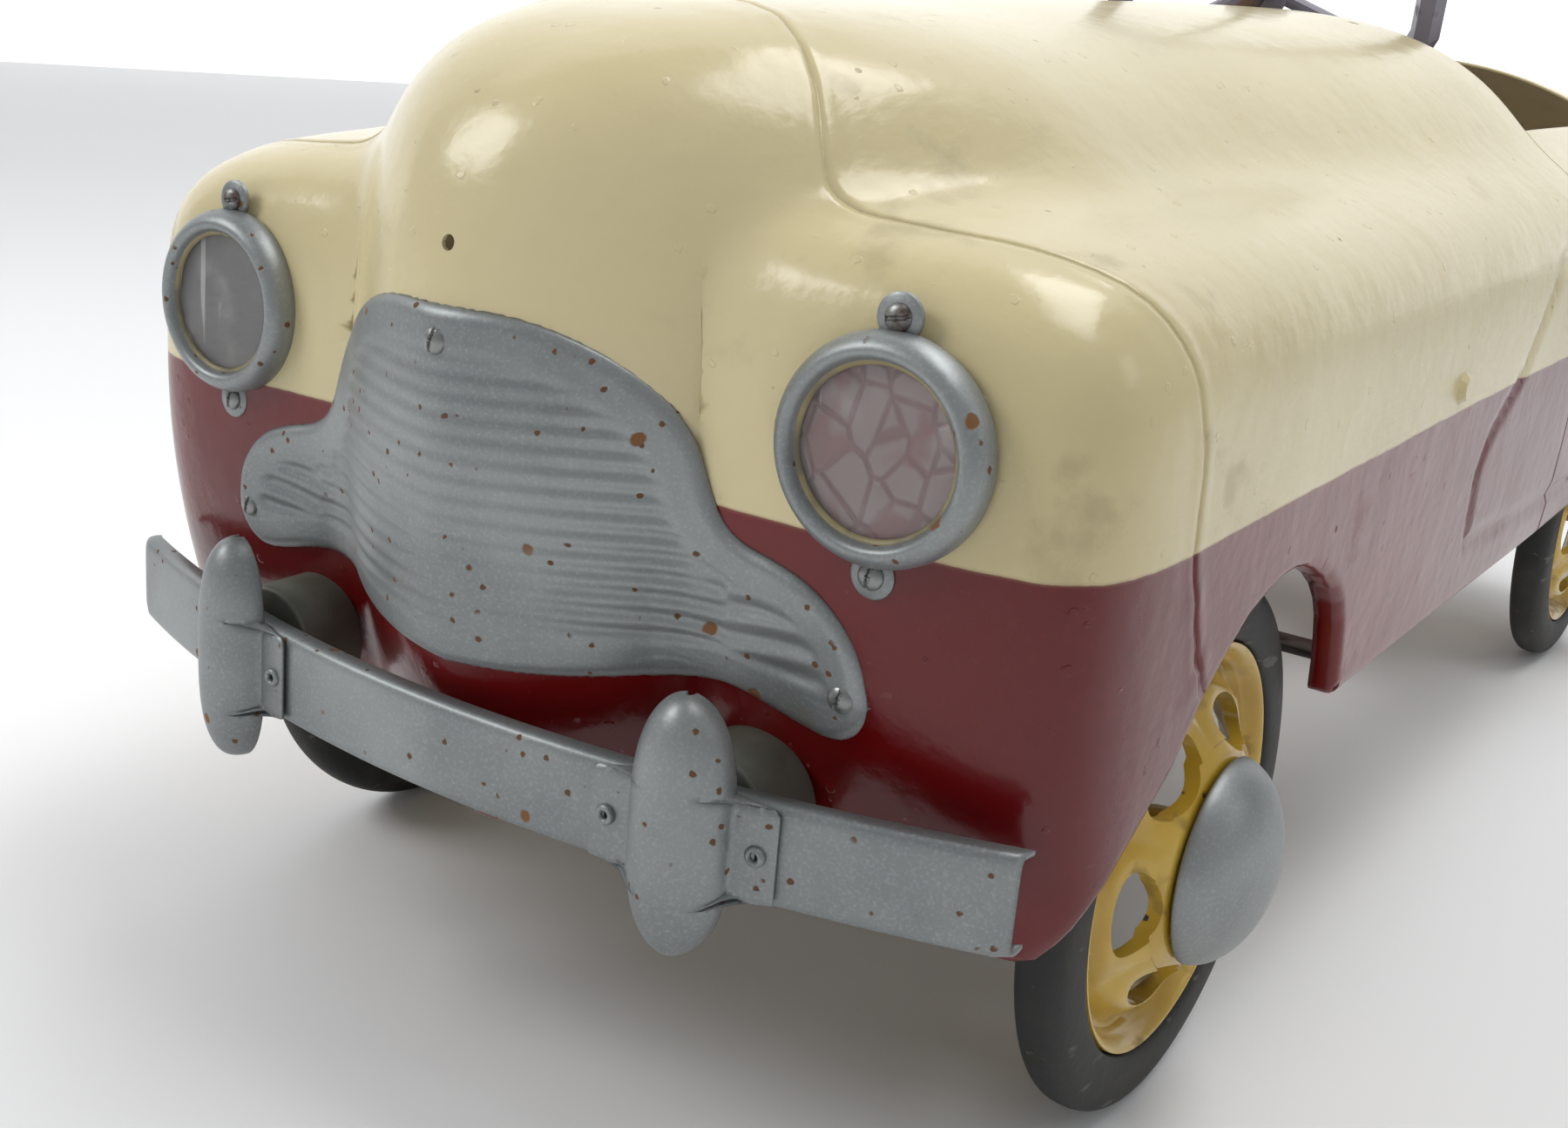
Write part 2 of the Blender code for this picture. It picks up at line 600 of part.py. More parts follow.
def wheel(name, x, y):
    side = 1 if x > 0 else -1
    centre = (x, y, WHEEL_RADIUS)
    sides = 24
    circumscribed = 1 / math.cos(math.pi / sides)
    half = TYRE_WIDTH / 2
    tread = WHEEL_RADIUS * circumscribed
    tyre = [
        (-half + 2 * MM, RIM_RADIUS + GAP),
        (-half, RIM_RADIUS + 7 * MM),
        (-half + MM, tread - 6 * MM),
        (-half + 6 * MM, tread),
        (half - 6 * MM, tread),
        (half - MM, tread - 6 * MM),
        (half, RIM_RADIUS + 7 * MM),
        (half - 2 * MM, RIM_RADIUS + GAP),
    ]
    lathe(f"tyre_{name}", tyre, centre, "black_rubber", sides, flip=side)
    disc = [
        (-9 * MM, BORE),
        (19.6 * MM, BORE),
        (19.6 * MM, 38 * MM),
        (6.5 * MM, 54 * MM),
        (-MM, 66 * MM),
        (2 * MM, 71.5 * MM),
        (8.4 * MM, 73.5 * MM),
        (8.4 * MM, RIM_RADIUS),
        (-8.4 * MM, RIM_RADIUS),
        (-8.4 * MM, 74 * MM),
        (-4 * MM, 70 * MM),
        (-4.5 * MM, 66 * MM),
        (3 * MM, 53 * MM),
        (16 * MM, 37 * MM),
        (16 * MM, 13 * MM),
        (-9 * MM, 13 * MM),
    ]
    made = lathe(f"wheel_disc_{name}", disc, centre, "yellow_paint", sides, flip=side)
    for i in range(HOLES):
        cut(made, wheel_hole(f"wheel_hole_{name}_{i}", centre, math.tau * (i + 0.37) / HOLES))
    cap = [
        (21 * MM, 38.5 * MM),
        (29 * MM, 34 * MM),
        (37 * MM, 22 * MM),
        (41 * MM, 0),
        (39.5 * MM, 0),
        (35.5 * MM, 21 * MM),
        (27.5 * MM, 33 * MM),
        (20 * MM, 37 * MM),
    ]
    lathe(f"hubcap_{name}", cap, centre, "silver_paint", 20, flip=side)


OUT = Vector((1, 0, 0))


def drive():
    wheel_z = WHEEL_RADIUS
    pins = {}
    inner = CRANK_X - 13 * MM
    shapes = [lambda bm: rod(bm, (-inner, REAR_AXLE_Y, wheel_z), (inner, REAR_AXLE_Y, wheel_z), SHAFT, 14)]
    for name, side in SIDES:
        pin_z = wheel_z + side * CRANK_RADIUS
        pins[name] = pin_z

        def segment(a, b, z, side=side, radius=SHAFT):
            return lambda bm: rod(bm, (side * a, REAR_AXLE_Y, z), (side * b, REAR_AXLE_Y, z), radius, 14)

        def web(a, side=side, pin_z=pin_z):
            xs, zs = sorted((side * a, side * (a + 5 * MM))), sorted((wheel_z, pin_z))
            low = (xs[0], REAR_AXLE_Y - 8 * MM, zs[0] - 8 * MM)
            return lambda bm: cuboid(bm, low, (xs[1], REAR_AXLE_Y + 8 * MM, zs[1] + 8 * MM))

        shapes += [
            segment(CRANK_X + 11 * MM, TYRE_X + 17 * MM, wheel_z),
            web(CRANK_X - 14 * MM),
            web(CRANK_X + 9 * MM),
            segment(CRANK_X - 11 * MM, CRANK_X + 11 * MM, pin_z, radius=5 * MM),
        ]
    union("crank_axle", shapes, "dull_steel", origin=(0, REAR_AXLE_Y, wheel_z))
    joint_reach = PEDAL_PIVOT_Z - wheel_z
    for name, side in SIDES:
        x = side * CRANK_X
        rear = Vector((x, REAR_AXLE_Y, pins[name]))
        front = Vector((x, PEDAL_PIVOT_Y, wheel_z))
        wide = Vector((4 * MM, 0, 0))
        push = union(
            f"push_rod_{name}",
            [
                lambda bm: rod(bm, rear, front, 4 * MM, 8),
                lambda bm: rod(bm, rear - wide, rear + wide, 9.5 * MM, 14),
                lambda bm: rod(bm, front - wide, front + wide, 9 * MM, 14),
            ],
            "dull_steel",
            origin=rear,
        )
        drill(push, rear - wide * 2, rear + wide * 2, 5 * MM + CLEAR, 14)
        pivot = Vector((0, PEDAL_PIVOT_Y, PEDAL_PIVOT_Z))
        low, high = side * (CRANK_X + 5 * MM), side * (CRANK_X + 11 * MM)
        near, far = sorted((low, high))
        foot = pivot - Vector((0, 0, joint_reach))
        spindle = pivot - Vector((0, 0, PAD_REACH))
        pad_end = CRANK_X + 64 * MM
        lever = union(
            f"pedal_lever_{name}",
            [
                lambda bm: cuboid(
                    bm,
                    (near, PEDAL_PIVOT_Y - 8 * MM, foot.z - 9 * MM),
                    (far, PEDAL_PIVOT_Y + 8 * MM, PEDAL_PIVOT_Z),
                ),
                lambda bm: rod(bm, pivot + (low - side * 3 * MM) * OUT, pivot + (high + side * 3 * MM) * OUT, 11 * MM),
                lambda bm: rod(
                    bm, spindle + Vector((low + side * MM, 0, 0)), spindle + Vector((side * pad_end, 0, 0)), 4 * MM, 10
                ),
            ],
            "dull_steel",
            origin=pivot,
        )
        ends = pivot + (low - side * 9 * MM) * OUT, pivot + (high + side * 9 * MM) * OUT
        drill(lever, *ends, PIVOT_ROD + CLEAR)
        inner, outer = sorted((high + side * GAP, side * (pad_end - 2 * MM)))
        pad = block(
            f"pedal_pad_{name}",
            (inner, PEDAL_PIVOT_Y - 8 * MM, spindle.z - 24 * MM),
            (outer, PEDAL_PIVOT_Y + 8 * MM, spindle.z + 24 * MM),
            "black_rubber",
            origin=pivot,
        )
        drill(pad, (inner - 9 * MM, spindle.y, spindle.z), (outer + 9 * MM, spindle.y, spindle.z), 4 * MM + CLEAR, 10)


def pivot_rod(bonnet):
    """The rod that carries both pedals, riveted over outside the body."""
    y, z = PEDAL_PIVOT_Y, PEDAL_PIVOT_Z
    wall = body_point(y, math.asin((z - WAIST_Z) / HALF_WIDTH)).x + GAP
    heads = [
        lambda bm, side=side: rod(bm, (side * wall, y, z), (side * (wall + 4 * MM), y, z), 8.5 * MM, 14, 4.5 * MM)
        for _, side in SIDES
    ]
    shapes = [lambda bm: rod(bm, (-wall - MM, y, z), (wall + MM, y, z), PIVOT_ROD), *heads]
    union("pedal_pivot_rod", shapes, "cream_paint")
    drill(bonnet, (-wall - 9 * MM, y, z), (wall + 9 * MM, y, z), PIVOT_ROD + CLEAR)


def seat():
    front, back = REAR_AXLE_Y - 110 * MM, REAR_AXLE_Y - 20 * MM
    top, thick = 192 * MM, 7 * MM
    half = 128 * MM
    tip, rise = back + 20 * MM, top + 132 * MM
    rest = [(back - thick, top - thick), (back, top - thick), (tip, rise), (tip - thick, rise)]

    def backrest(bm):
        plate(bm, rest, 2 * half, SIDEWAYS)
        bmesh.ops.translate(bm, verts=bm.verts, vec=(-half, 0, 0))

    shapes = [lambda bm: cuboid(bm, (-half, front, top - thick), (half, back, top)), backrest]
    for side in (-1, 1):
        for y in (front + 6 * MM, back - 16 * MM):
            x = side * RAIL_X
            shapes.append(lambda bm, x=x, y=y: cuboid(
                bm, (x - 4 * MM, y, RAIL_Z[1] + GAP), (x + 4 * MM, y + 8 * MM, top - MM)
            ))
    union("seat", shapes, "red_paint")


def headlight(name, side, nose):
    x = side * LIGHT_X
    face = front_y(LIGHT_X, LIGHT_Z) - GAP
    front = face - LIGHT_DEPTH
    profile = [
        (0, LIGHT_RADIUS),
        (LIGHT_DEPTH - 5 * MM, LIGHT_RADIUS - 1.5 * MM),
        (LIGHT_DEPTH, LIGHT_RADIUS - 5 * MM),
        (LIGHT_DEPTH, LENS_OPENING + 2 * MM),
        (LIGHT_DEPTH - 3 * MM, LENS_OPENING),
        (LIGHT_DEPTH - 4.5 * MM, LENS_OPENING),
        (LIGHT_DEPTH - 4.5 * MM, LENS_OPENING + 3 * MM),
        (0, LENS_OPENING + 3 * MM),
    ]

    def ring(bm):
        verts = [bm.verts.new((radius, 0, out)) for out, radius in profile]
        edges = [bm.edges.new((verts[i], verts[(i + 1) % len(verts)])) for i in range(len(verts))]
        bmesh.ops.spin(
            bm, geom=verts + edges, axis=(0, 0, 1), cent=(0, 0, 0), angle=math.tau, steps=20, use_merge=True
        )
        bmesh.ops.remove_doubles(bm, verts=bm.verts, dist=0.01 * MM)
        bmesh.ops.rotate(bm, verts=bm.verts, matrix=Matrix.Rotation(math.pi / 2, 3, "X"))
        bmesh.ops.translate(bm, verts=bm.verts, vec=(x, face, LIGHT_Z))

    def lug(end):
        z = LIGHT_Z + end * LUG_REACH
        return lambda bm: rod(bm, (x, face, z), (x, face - 2 * MM, z), 7 * MM, 14)

    bezel = union(f"headlight_bezel_{name}", [ring, lug(1), lug(-1)], "silver_paint")
    for end, place in ((1, "upper"), (-1, "lower")):
        z = LIGHT_Z + end * LUG_REACH
        drill(bezel, (x, face + 9 * MM, z), (x, face - 9 * MM, z), 1.6 * MM + CLEAR, 10)
        drill(nose, (x, face + 30 * MM, z), (x, face - 9 * MM, z), 1.6 * MM + CLEAR, 10)
        screw(f"headlight_screw_{place}_{name}", (x, face - 2 * MM - GAP, z), 4.2 * MM, 14 * MM)
    back = front + 4.5 * MM + GAP
    radius = LENS_OPENING + 2.6 * MM
    start, end = (x, back, LIGHT_Z), (x, back + 2 * MM, LIGHT_Z)
    rod_object(f"headlight_lens_{name}", start, end, radius, "clear_lens", 28)
    start, end = (x, back + 2 * MM + GAP, LIGHT_Z), (x, back + 3.5 * MM + GAP, LIGHT_Z)
    rod_object(f"headlight_backing_{name}", start, end, radius, "red_paint", 28)


def screw(name, at, head, length):
    """A slotted round-head screw that points along +Y, with the underside of its head at the point given."""
    x, y, z = at
    made = union(
        name,
        [
            lambda bm: rod(bm, (x, y, z), (x, y - 2.4 * MM, z), head, 12, head * 0.6),
            lambda bm: rod(bm, (x, y - MM, z), (x, y + length, z), 1.6 * MM, 8),
        ],
        "dull_steel",
    )
    low, high = (x - 0.5 * MM, y - 9 * MM, z - 9 * MM), (x + 0.5 * MM, y - 1.2 * MM, z + 9 * MM)
    cut(made, block(f"{name}_slot", low, high, "dull_steel"))


# Half the grille's width at heights above the ground, then the rise of its lower edge
GRILLE = [
    (170, 138), (188, 141), (204, 137), (215, 127), (222, 110), (228, 94), (238, 85), (254, 79), (268, 67),
    (279, 50), (287, 26),
]


def grille(nose):
    bm = bmesh.new()
    rows = []
    for z, half in GRILLE:
        row = []
        for i in range(13):
            x = half * math.sin(math.pi / 2 * (i - 6) / 6) * MM
            low = 6 * math.sin(min(1, abs(x) / (92 * MM)) * math.pi) ** 2 if z < 175 else 0
            height = (z + low) * MM
            row.append(bm.verts.new((x, front_y(x, height) - GRILLE_OFF, height)))
        rows.append(row)
    for one, two in zip(rows, rows[1:]):
        for i in range(12):
            bm.faces.new((one[i], one[i + 1], two[i + 1], two[i]))
    mesh = bpy.data.meshes.new("grille")
    bm.to_mesh(mesh)
    bm.free()
    mesh.shade_smooth()
    panel = bpy.data.objects.new("grille", mesh)
    panel.data.materials.append(material("silver_paint"))
    bpy.context.scene.collection.objects.link(panel)
    thick = panel.modifiers.new("sheet", "SOLIDIFY")
    thick.thickness = GRILLE_SHEET
    thick.offset = 1
    for name, x, z in (("top", 0, 276.6), ("left", 133.5, 184.8), ("right", -133.5, 184.8)):
        at = (x * MM, z * MM)
        y = front_y(*at) - GRILLE_OFF - GRILLE_SHEET
        for target in (panel, nose):
            drill(target, (at[0], y - 9 * MM, at[1]), (at[0], y + 30 * MM, at[1]), 1.6 * MM + CLEAR, 10)
        screw(f"grille_screw_{name}", (at[0], y - 1.2 * MM, at[1]), 4.6 * MM, 12 * MM)


def bumper_y(x):
    return FRONT_AXLE_Y - BUMPER_NOSE + BUMPER_BOW * (x / BUMPER_HALF) ** 2


def bumper():
    low, high = BUMPER_Z
    section = [(8 * MM, low), (2 * MM, low), (0, low + 2.5 * MM), (0, high - 2.5 * MM), (2 * MM, high), (8 * MM, high)]
    bm = bmesh.new()
    rings = []
    for i in range(21):
        x = BUMPER_HALF * (i - 10) / 10
        rings.append([bm.verts.new((x, bumper_y(x) + back, z)) for back, z in section])
    for one, two in zip(rings, rings[1:]):
        for i in range(len(one) - 1):
            bm.faces.new((one[i], two[i], two[i + 1], one[i + 1]))
    mesh = bpy.data.meshes.new("bumper_bar")
    bm.to_mesh(mesh)
    bm.free()
    bar = bpy.data.objects.new("bumper_bar", mesh)
    bar.data.materials.append(material("silver_paint"))
    bpy.context.scene.collection.objects.link(bar)
    thick = bar.modifiers.new("sheet", "SOLIDIFY")
    thick.thickness = SHEET
    thick.offset = -1
    middle = sum(BUMPER_Z) / 2
    for name, side in SIDES:
        x = side * OVERRIDER_X
        y = bumper_y(x)
        turn = math.atan2(2 * BUMPER_BOW * x / BUMPER_HALF**2, 1)
        place = Matrix.Translation((x, y - GAP - MM, 0)) @ Matrix.Rotation(turn, 4, "Z")
        bullet = functools.partial(overrider_bullet, place=place)
        flange = functools.partial(overrider_flange, place=place)
        union(f"overrider_{name}", [bullet, flange], "silver_paint")
        wall = front_y(OVERRIDER_X, middle)
        start, end = (x, y + 12.5 * MM, middle), (x, wall - 6 * MM, middle)
        rod_object(f"bumper_spacer_{name}", start, end, SPACER_RADIUS, "silver_paint", 20)


def overrider_bullet(bm, place):
    low, high = OVERRIDER_Z
    middle, half = (low + high) / 2, (high - low) / 2
    rings = []
    for i in range(11):
        up = math.sin(math.pi / 2 * (i - 5) / 5 * 0.93)
        size = (1 - abs(up) ** 3.2) ** 0.5
        ring = []
        for j in range(9):
            a = math.pi * j / 8
            x, y = 17 * MM * size * math.cos(a), -15 * MM * size * math.sin(a)
            ring.append(bm.verts.new((x, y, middle + half * up)))
        rings.append(ring)
    for one, two in zip(rings, rings[1:]):
        for j in range(9):
            bm.faces.new((one[j], one[(j + 1) % 9], two[(j + 1) % 9], two[j]))
    bm.faces.new(rings[0])
    bm.faces.new(rings[-1])
    bmesh.ops.transform(bm, matrix=place, verts=bm.verts)


def overrider_flange(bm, place):
    cuboid(bm, (-31 * MM, -1.5 * MM, BUMPER_Z[0] + MM), (31 * MM, -0.3 * MM, BUMPER_Z[1] - MM))
    bmesh.ops.transform(bm, matrix=place, verts=bm.verts)


def main():
    for made in list(bpy.data.objects):
        bpy.data.objects.remove(made, do_unlink=True)
    nose, bonnet = body()
    chassis()
    steering()
    for place, y in (("front", FRONT_AXLE_Y), ("rear", REAR_AXLE_Y)):
        for name, side in SIDES:
            wheel(f"{place}_{name}", side * TYRE_X, y)
    drive()
    pivot_rod(bonnet)
    seat()
    for name, side in SIDES:
        headlight(name, side, nose)
    grille(nose)
    bumper()


main()
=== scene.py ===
# %% [markdown]
# A child's pedal car from the pressed-steel years: a domed body painted cream over red with a brush,
# aluminium-painted trim, yellow wheels. The frame below brings in the engineering model, which fixes every
# size and every moving body. This lesson dresses it: it rebuilds the pressings in fine detail, and mixes
# one procedural paint for each finish.

# %% Load the frame and a few sizes
import json
import math

import bmesh
import bpy
from mathutils import Matrix, Vector
from mathutils.kdtree import KDTree


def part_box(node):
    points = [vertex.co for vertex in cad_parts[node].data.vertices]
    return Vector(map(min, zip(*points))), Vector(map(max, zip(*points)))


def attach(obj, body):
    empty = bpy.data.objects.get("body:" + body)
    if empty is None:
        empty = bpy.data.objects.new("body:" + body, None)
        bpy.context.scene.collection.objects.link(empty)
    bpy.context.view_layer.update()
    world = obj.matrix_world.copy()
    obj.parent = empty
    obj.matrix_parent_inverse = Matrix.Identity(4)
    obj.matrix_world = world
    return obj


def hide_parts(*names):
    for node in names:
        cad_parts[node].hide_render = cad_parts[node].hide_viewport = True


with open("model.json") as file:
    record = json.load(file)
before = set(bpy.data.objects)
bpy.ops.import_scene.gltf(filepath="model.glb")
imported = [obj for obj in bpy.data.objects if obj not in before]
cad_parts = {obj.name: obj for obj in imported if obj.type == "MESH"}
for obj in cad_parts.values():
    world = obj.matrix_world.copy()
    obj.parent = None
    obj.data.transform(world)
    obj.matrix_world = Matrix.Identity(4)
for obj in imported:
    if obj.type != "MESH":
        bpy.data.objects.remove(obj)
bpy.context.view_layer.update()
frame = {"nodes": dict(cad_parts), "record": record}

MM = 0.001
SIDES = (("left", 1), ("right", -1))
disc_low, disc_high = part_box("wheel_disc_front_left")
FRONT_AXLE_Y = (disc_low.y + disc_high.y) / 2
disc_low, disc_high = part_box("wheel_disc_rear_left")
REAR_AXLE_Y = (disc_low.y + disc_high.y) / 2
WHEEL_RADIUS = 100 * MM
TYRE_X = 182 * MM
print("front axle at", round(FRONT_AXLE_Y, 4), "rear axle at", round(REAR_AXLE_Y, 4))

# %% [markdown]
# Shaders are easier to read as sums than as boxes and wires. A `Wire` is one output socket, and Python's
# operators on it add Math nodes. A `Finish` is one material with a method that adds any other node.

# %% Shader helpers
class Wire:
    """A number that varies over the surface."""

    def __init__(self, finish, socket):
        self.finish, self.socket = finish, socket

    def math(self, operation, *others, flip=False):
        values = (self, *others)[::-1] if flip else (self, *others)
        return self.finish.node("ShaderNodeMath", {"operation": operation}, *values)

    def __add__(self, other):
        return self.math("ADD", other)

    __radd__ = __add__

    def __mul__(self, other):
        return self.math("MULTIPLY", other)

    __rmul__ = __mul__

    def __sub__(self, other):
        return self.math("SUBTRACT", other)

    def __rsub__(self, other):
        return self.math("SUBTRACT", other, flip=True)

    def ramp(self, low, high):
        """0 below low, 1 above high, smooth between. low may be the greater, which turns it round."""
        settings = {"interpolation_type": "SMOOTHSTEP"}
        if low > high:
            return 1 - self.ramp(high, low)
        return self.finish.node("ShaderNodeMapRange", settings, self, low, high, 0.0, 1.0)

    def most(self, other):
        return self.math("MAXIMUM", other)

    def least(self, other):
        return self.math("MINIMUM", other)


class Finish:
    """One procedural material."""

    def __init__(self, name, roughness=0.5, metallic=0.0, **constants):
        self.material = bpy.data.materials.new(name)
        self.material.use_nodes = True
        self.tree = self.material.node_tree
        self.shader = self.tree.nodes["Principled BSDF"]
        self.shader.inputs["Roughness"].default_value = roughness
        self.shader.inputs["Metallic"].default_value = metallic
        for socket, value in constants.items():
            self.shader.inputs[socket.replace("_", " ")].default_value = value
        coordinates = self.tree.nodes.new("ShaderNodeTexCoord")
        self.place = Wire(self, coordinates.outputs["Object"])
        self.up = self.node("ShaderNodeSeparateXYZ", {}, self.place, out=2)

    def plug(self, value, socket):
        if isinstance(value, Wire):
            self.tree.links.new(value.socket, socket)
        else:
            socket.default_value = value

    def node(self, kind, settings, *values, out=0, **named):
        """Adds a node: its settings first, then its sockets by order, then by name."""
        made = self.tree.nodes.new(kind)
        for key, value in settings.items():
            setattr(made, key, value)
        for socket, value in zip([s for s in made.inputs if s.enabled], values):
            self.plug(value, socket)
        for key, value in named.items():
            self.plug(value, made.inputs[key])
        return Wire(self, made.outputs[out])

    def stretch(self, scale):
        """Coordinates that draw a texture out along each axis with a scale under 1."""
        return self.node("ShaderNodeMapping", {}, self.place, Scale=scale)

    def noise(self, scale, detail=3.0, at=None):
        return self.node("ShaderNodeTexNoise", {}, Vector=at or self.place, Scale=scale, Detail=detail)

    def cells(self, scale, at=None, feature="F1"):
        """The distance to the nearest of the points scattered through space."""
        return self.node("ShaderNodeTexVoronoi", {"feature": feature}, Vector=at or self.place, Scale=scale)

    def spots(self, scale, size, share=0.5, at=None):
        """Scattered blots: size is their radius in cells, share how many of the cells have one."""
        shape = self.cells(scale, at) + (self.noise(scale * 4, 3, at) - 0.5) * size * 1.6
        chosen = self.noise(scale * 0.45, 1, at).ramp(1 - share - 0.02, 1 - share + 0.02)
        return shape.ramp(size, size * 0.7) * chosen

    def mix(self, factor, first, second):
        """first where factor is 0 and second where it is 1."""
        made = self.tree.nodes.new("ShaderNodeMix")
        made.data_type = "RGBA"
        self.plug(factor, made.inputs[0])
        for value, socket in ((first, made.inputs[6]), (second, made.inputs[7])):
            self.plug(value if isinstance(value, Wire) else (*value, 1), socket)
        return Wire(self, made.outputs[2])

    def finish(self, colour, roughness=None, metallic=None, height=None, depth=0.001, strength=1.0):
        """Plugs in what varies, with height in units of depth, and returns the material."""
        self.plug(colour if isinstance(colour, Wire) else (*colour, 1), self.shader.inputs["Base Color"])
        if roughness is not None:
            self.plug(roughness, self.shader.inputs["Roughness"])
        if metallic is not None:
            self.plug(metallic, self.shader.inputs["Metallic"])
        if height is not None:
            bump = self.node("ShaderNodeBump", {}, Strength=strength, Distance=depth, Height=height)
            self.tree.links.new(bump.socket, self.shader.inputs["Normal"])
        print("finish", self.material.name, "with", len(self.tree.nodes), "nodes")
        return self.material


# %% [markdown]
# The body was painted by hand, more than once. Cream enamel lies thick over old runs and grit, the red
# meets it along a brushed edge that wanders by a millimetre, and both are chipped down to rust in places.
# Long strokes follow the car. One material paints both colours by height, as the painter did.

# %% Body paint
PAINT_LINE_Z = 234.7 * MM
LINE_BLUR, LINE_DIRT = 0.3 * MM, 1.2 * MM  # how far the two colours and the dirt reach from the line


def body_paint():
    paint = Finish("body_paint", Coat_Weight=0.12, Coat_Roughness=0.08, Specular_IOR_Level=0.4)
    z = paint.up
    wander = (paint.noise(9, 2) - 0.5) * 0.0016 + (paint.noise(70, 3) - 0.5) * 0.0011
    line = z + wander
    above = line.ramp(PAINT_LINE_Z - LINE_BLUR, PAINT_LINE_Z + LINE_BLUR)
    stroke = paint.noise(300, 3, paint.stretch((1.0, 0.05, 1.0)))
    cloud = paint.noise(5, 4)
    cream = paint.mix(cloud.ramp(0.35, 0.7), (0.60, 0.515, 0.285), (0.69, 0.60, 0.355))
    cream = paint.mix(paint.noise(2.2, 3).ramp(0.52, 0.75) * 0.5, cream, (0.50, 0.405, 0.205))
    red = paint.mix(paint.noise(7, 4).ramp(0.35, 0.7), (0.115, 0.001, 0.002), (0.165, 0.003, 0.003))
    red = paint.mix(stroke.ramp(0.55, 0.8) * 0.2, red, (0.19, 0.006, 0.006))
    grime = paint.noise(30, 5).ramp(0.60, 0.72) * paint.noise(3, 2).ramp(0.50, 0.66)
    cream = paint.mix(grime * 0.35, cream, (0.30, 0.24, 0.13))
    ding = paint.spots(26, 0.045, 0.42)
    speck = paint.spots(60, 0.07, 0.38)
    cream = paint.mix(ding, cream, (0.16, 0.09, 0.04))
    cream = paint.mix(speck * 0.8, cream, (0.35, 0.27, 0.15))
    rust = paint.spots(9, 0.045, 0.45)
    cream = paint.mix(rust, cream, (0.30, 0.12, 0.02))
    low = z.ramp(0.20, 0.13)
    scuff = paint.noise(240, 4, paint.stretch((1.0, 0.12, 1.0))).ramp(0.64, 0.74)
    scuff = scuff * paint.noise(12, 3).ramp(0.5, 0.62)
    red = paint.mix(scuff * (0.12 + low * 0.3), red, (0.36, 0.19, 0.20))
    red = paint.mix(speck * 0.55, red, (0.05, 0.004, 0.004))
    colour = paint.mix(above, red, cream)
    edge = line.ramp(PAINT_LINE_Z - LINE_DIRT, PAINT_LINE_Z)
    edge = edge * line.ramp(PAINT_LINE_Z + LINE_DIRT, PAINT_LINE_Z)
    colour = paint.mix(edge * 0.3, colour, (0.30, 0.16, 0.09))
    lumps = paint.noise(38, 2) * 0.9 + paint.noise(110, 3) * 0.35 + stroke * 0.12
    grit = paint.spots(85, 0.16, 0.45)
    height = lumps + grit * 0.35 + above * 0.3 - ding * 0.6 - speck * 0.2
    rough = 0.16 + paint.noise(18, 3) * 0.12 + ding * 0.4 + scuff * 0.15 + grime * 0.15
    return paint.finish(colour, rough, height=height, depth=0.0013, strength=0.55)


BODY_PAINT = body_paint()

# %% [markdown]
# The trim wears aluminium paint: fine metal flakes in varnish, duller than chrome, with rust coming
# through as brown pinpricks and a few larger blooms.

# %% Aluminium paint
def silver_paint(name="aluminium_paint", rusty=0.68):
    paint = Finish(name, roughness=0.42, metallic=0.55)
    flake = paint.noise(900, 2)
    wash = paint.noise(14, 4)
    silver = paint.mix(wash.ramp(0.3, 0.7), (0.205, 0.22, 0.222), (0.30, 0.318, 0.316))
    silver = paint.mix(flake.ramp(0.45, 0.8) * 0.35, silver, (0.45, 0.47, 0.465))
    speck = paint.spots(130, 0.16, rusty * 0.75)
    bloom = paint.spots(38, 0.10, rusty * 0.85)
    silver = paint.mix(speck, silver, (0.13, 0.055, 0.02))
    silver = paint.mix(bloom, silver, (0.20, 0.085, 0.025))
    halo = paint.noise(26, 3).ramp(0.66, 0.78) * rusty
    silver = paint.mix(halo * 0.5, silver, (0.30, 0.22, 0.10))
    stained = speck.most(bloom)
    height = paint.noise(60, 3) * 0.5 + paint.noise(420, 2) * 0.12 - stained * 0.5
    rough = 0.38 + flake * 0.12 + stained * 0.3
    return paint.finish(silver, rough, 0.6 - stained * 0.55, height, 0.0008, 0.5)


SILVER = silver_paint()
SILVER_CLEAN = silver_paint("aluminium_paint_caps", 0.22)

# %% [markdown]
# The other finishes follow the same plan: a base colour that drifts, dirt or wear chosen by a second noise,
# and a height that stands or sinks with it. Each function makes one of them.

# %% Wheel paint, rubber, steel and the rest
def wheel_paint():
    paint = Finish("wheel_yellow", Coat_Weight=0.15)
    yellow = paint.mix(paint.noise(24, 4).ramp(0.35, 0.7), (0.50, 0.31, 0.03), (0.62, 0.42, 0.07))
    dirt = paint.noise(55, 5).ramp(0.56, 0.70)
    yellow = paint.mix(dirt * 0.55, yellow, (0.10, 0.06, 0.02))
    chip = paint.spots(75, 0.13, 0.5)
    yellow = paint.mix(chip, yellow, (0.03, 0.02, 0.015))
    height = paint.noise(50, 3) - chip * 0.5
    return paint.finish(yellow, 0.26 + dirt * 0.4 + chip * 0.2, height=height, depth=0.001, strength=0.5)


def rubber():
    tyre = Finish("tyre_rubber", roughness=0.8)
    dust = tyre.noise(26, 5).ramp(0.45, 0.75)
    black = tyre.mix(dust, (0.012, 0.012, 0.011), (0.055, 0.052, 0.045))
    scar = tyre.noise(160, 4, tyre.stretch((1, 0.3, 1))).ramp(0.64, 0.72)
    black = tyre.mix(scar * 0.5, black, (0.16, 0.15, 0.13))
    height = tyre.noise(70, 4) + tyre.noise(400, 2) * 0.3 - scar * 0.4
    return tyre.finish(black, 0.62 + dust * 0.25, height=height, depth=0.001, strength=0.5)


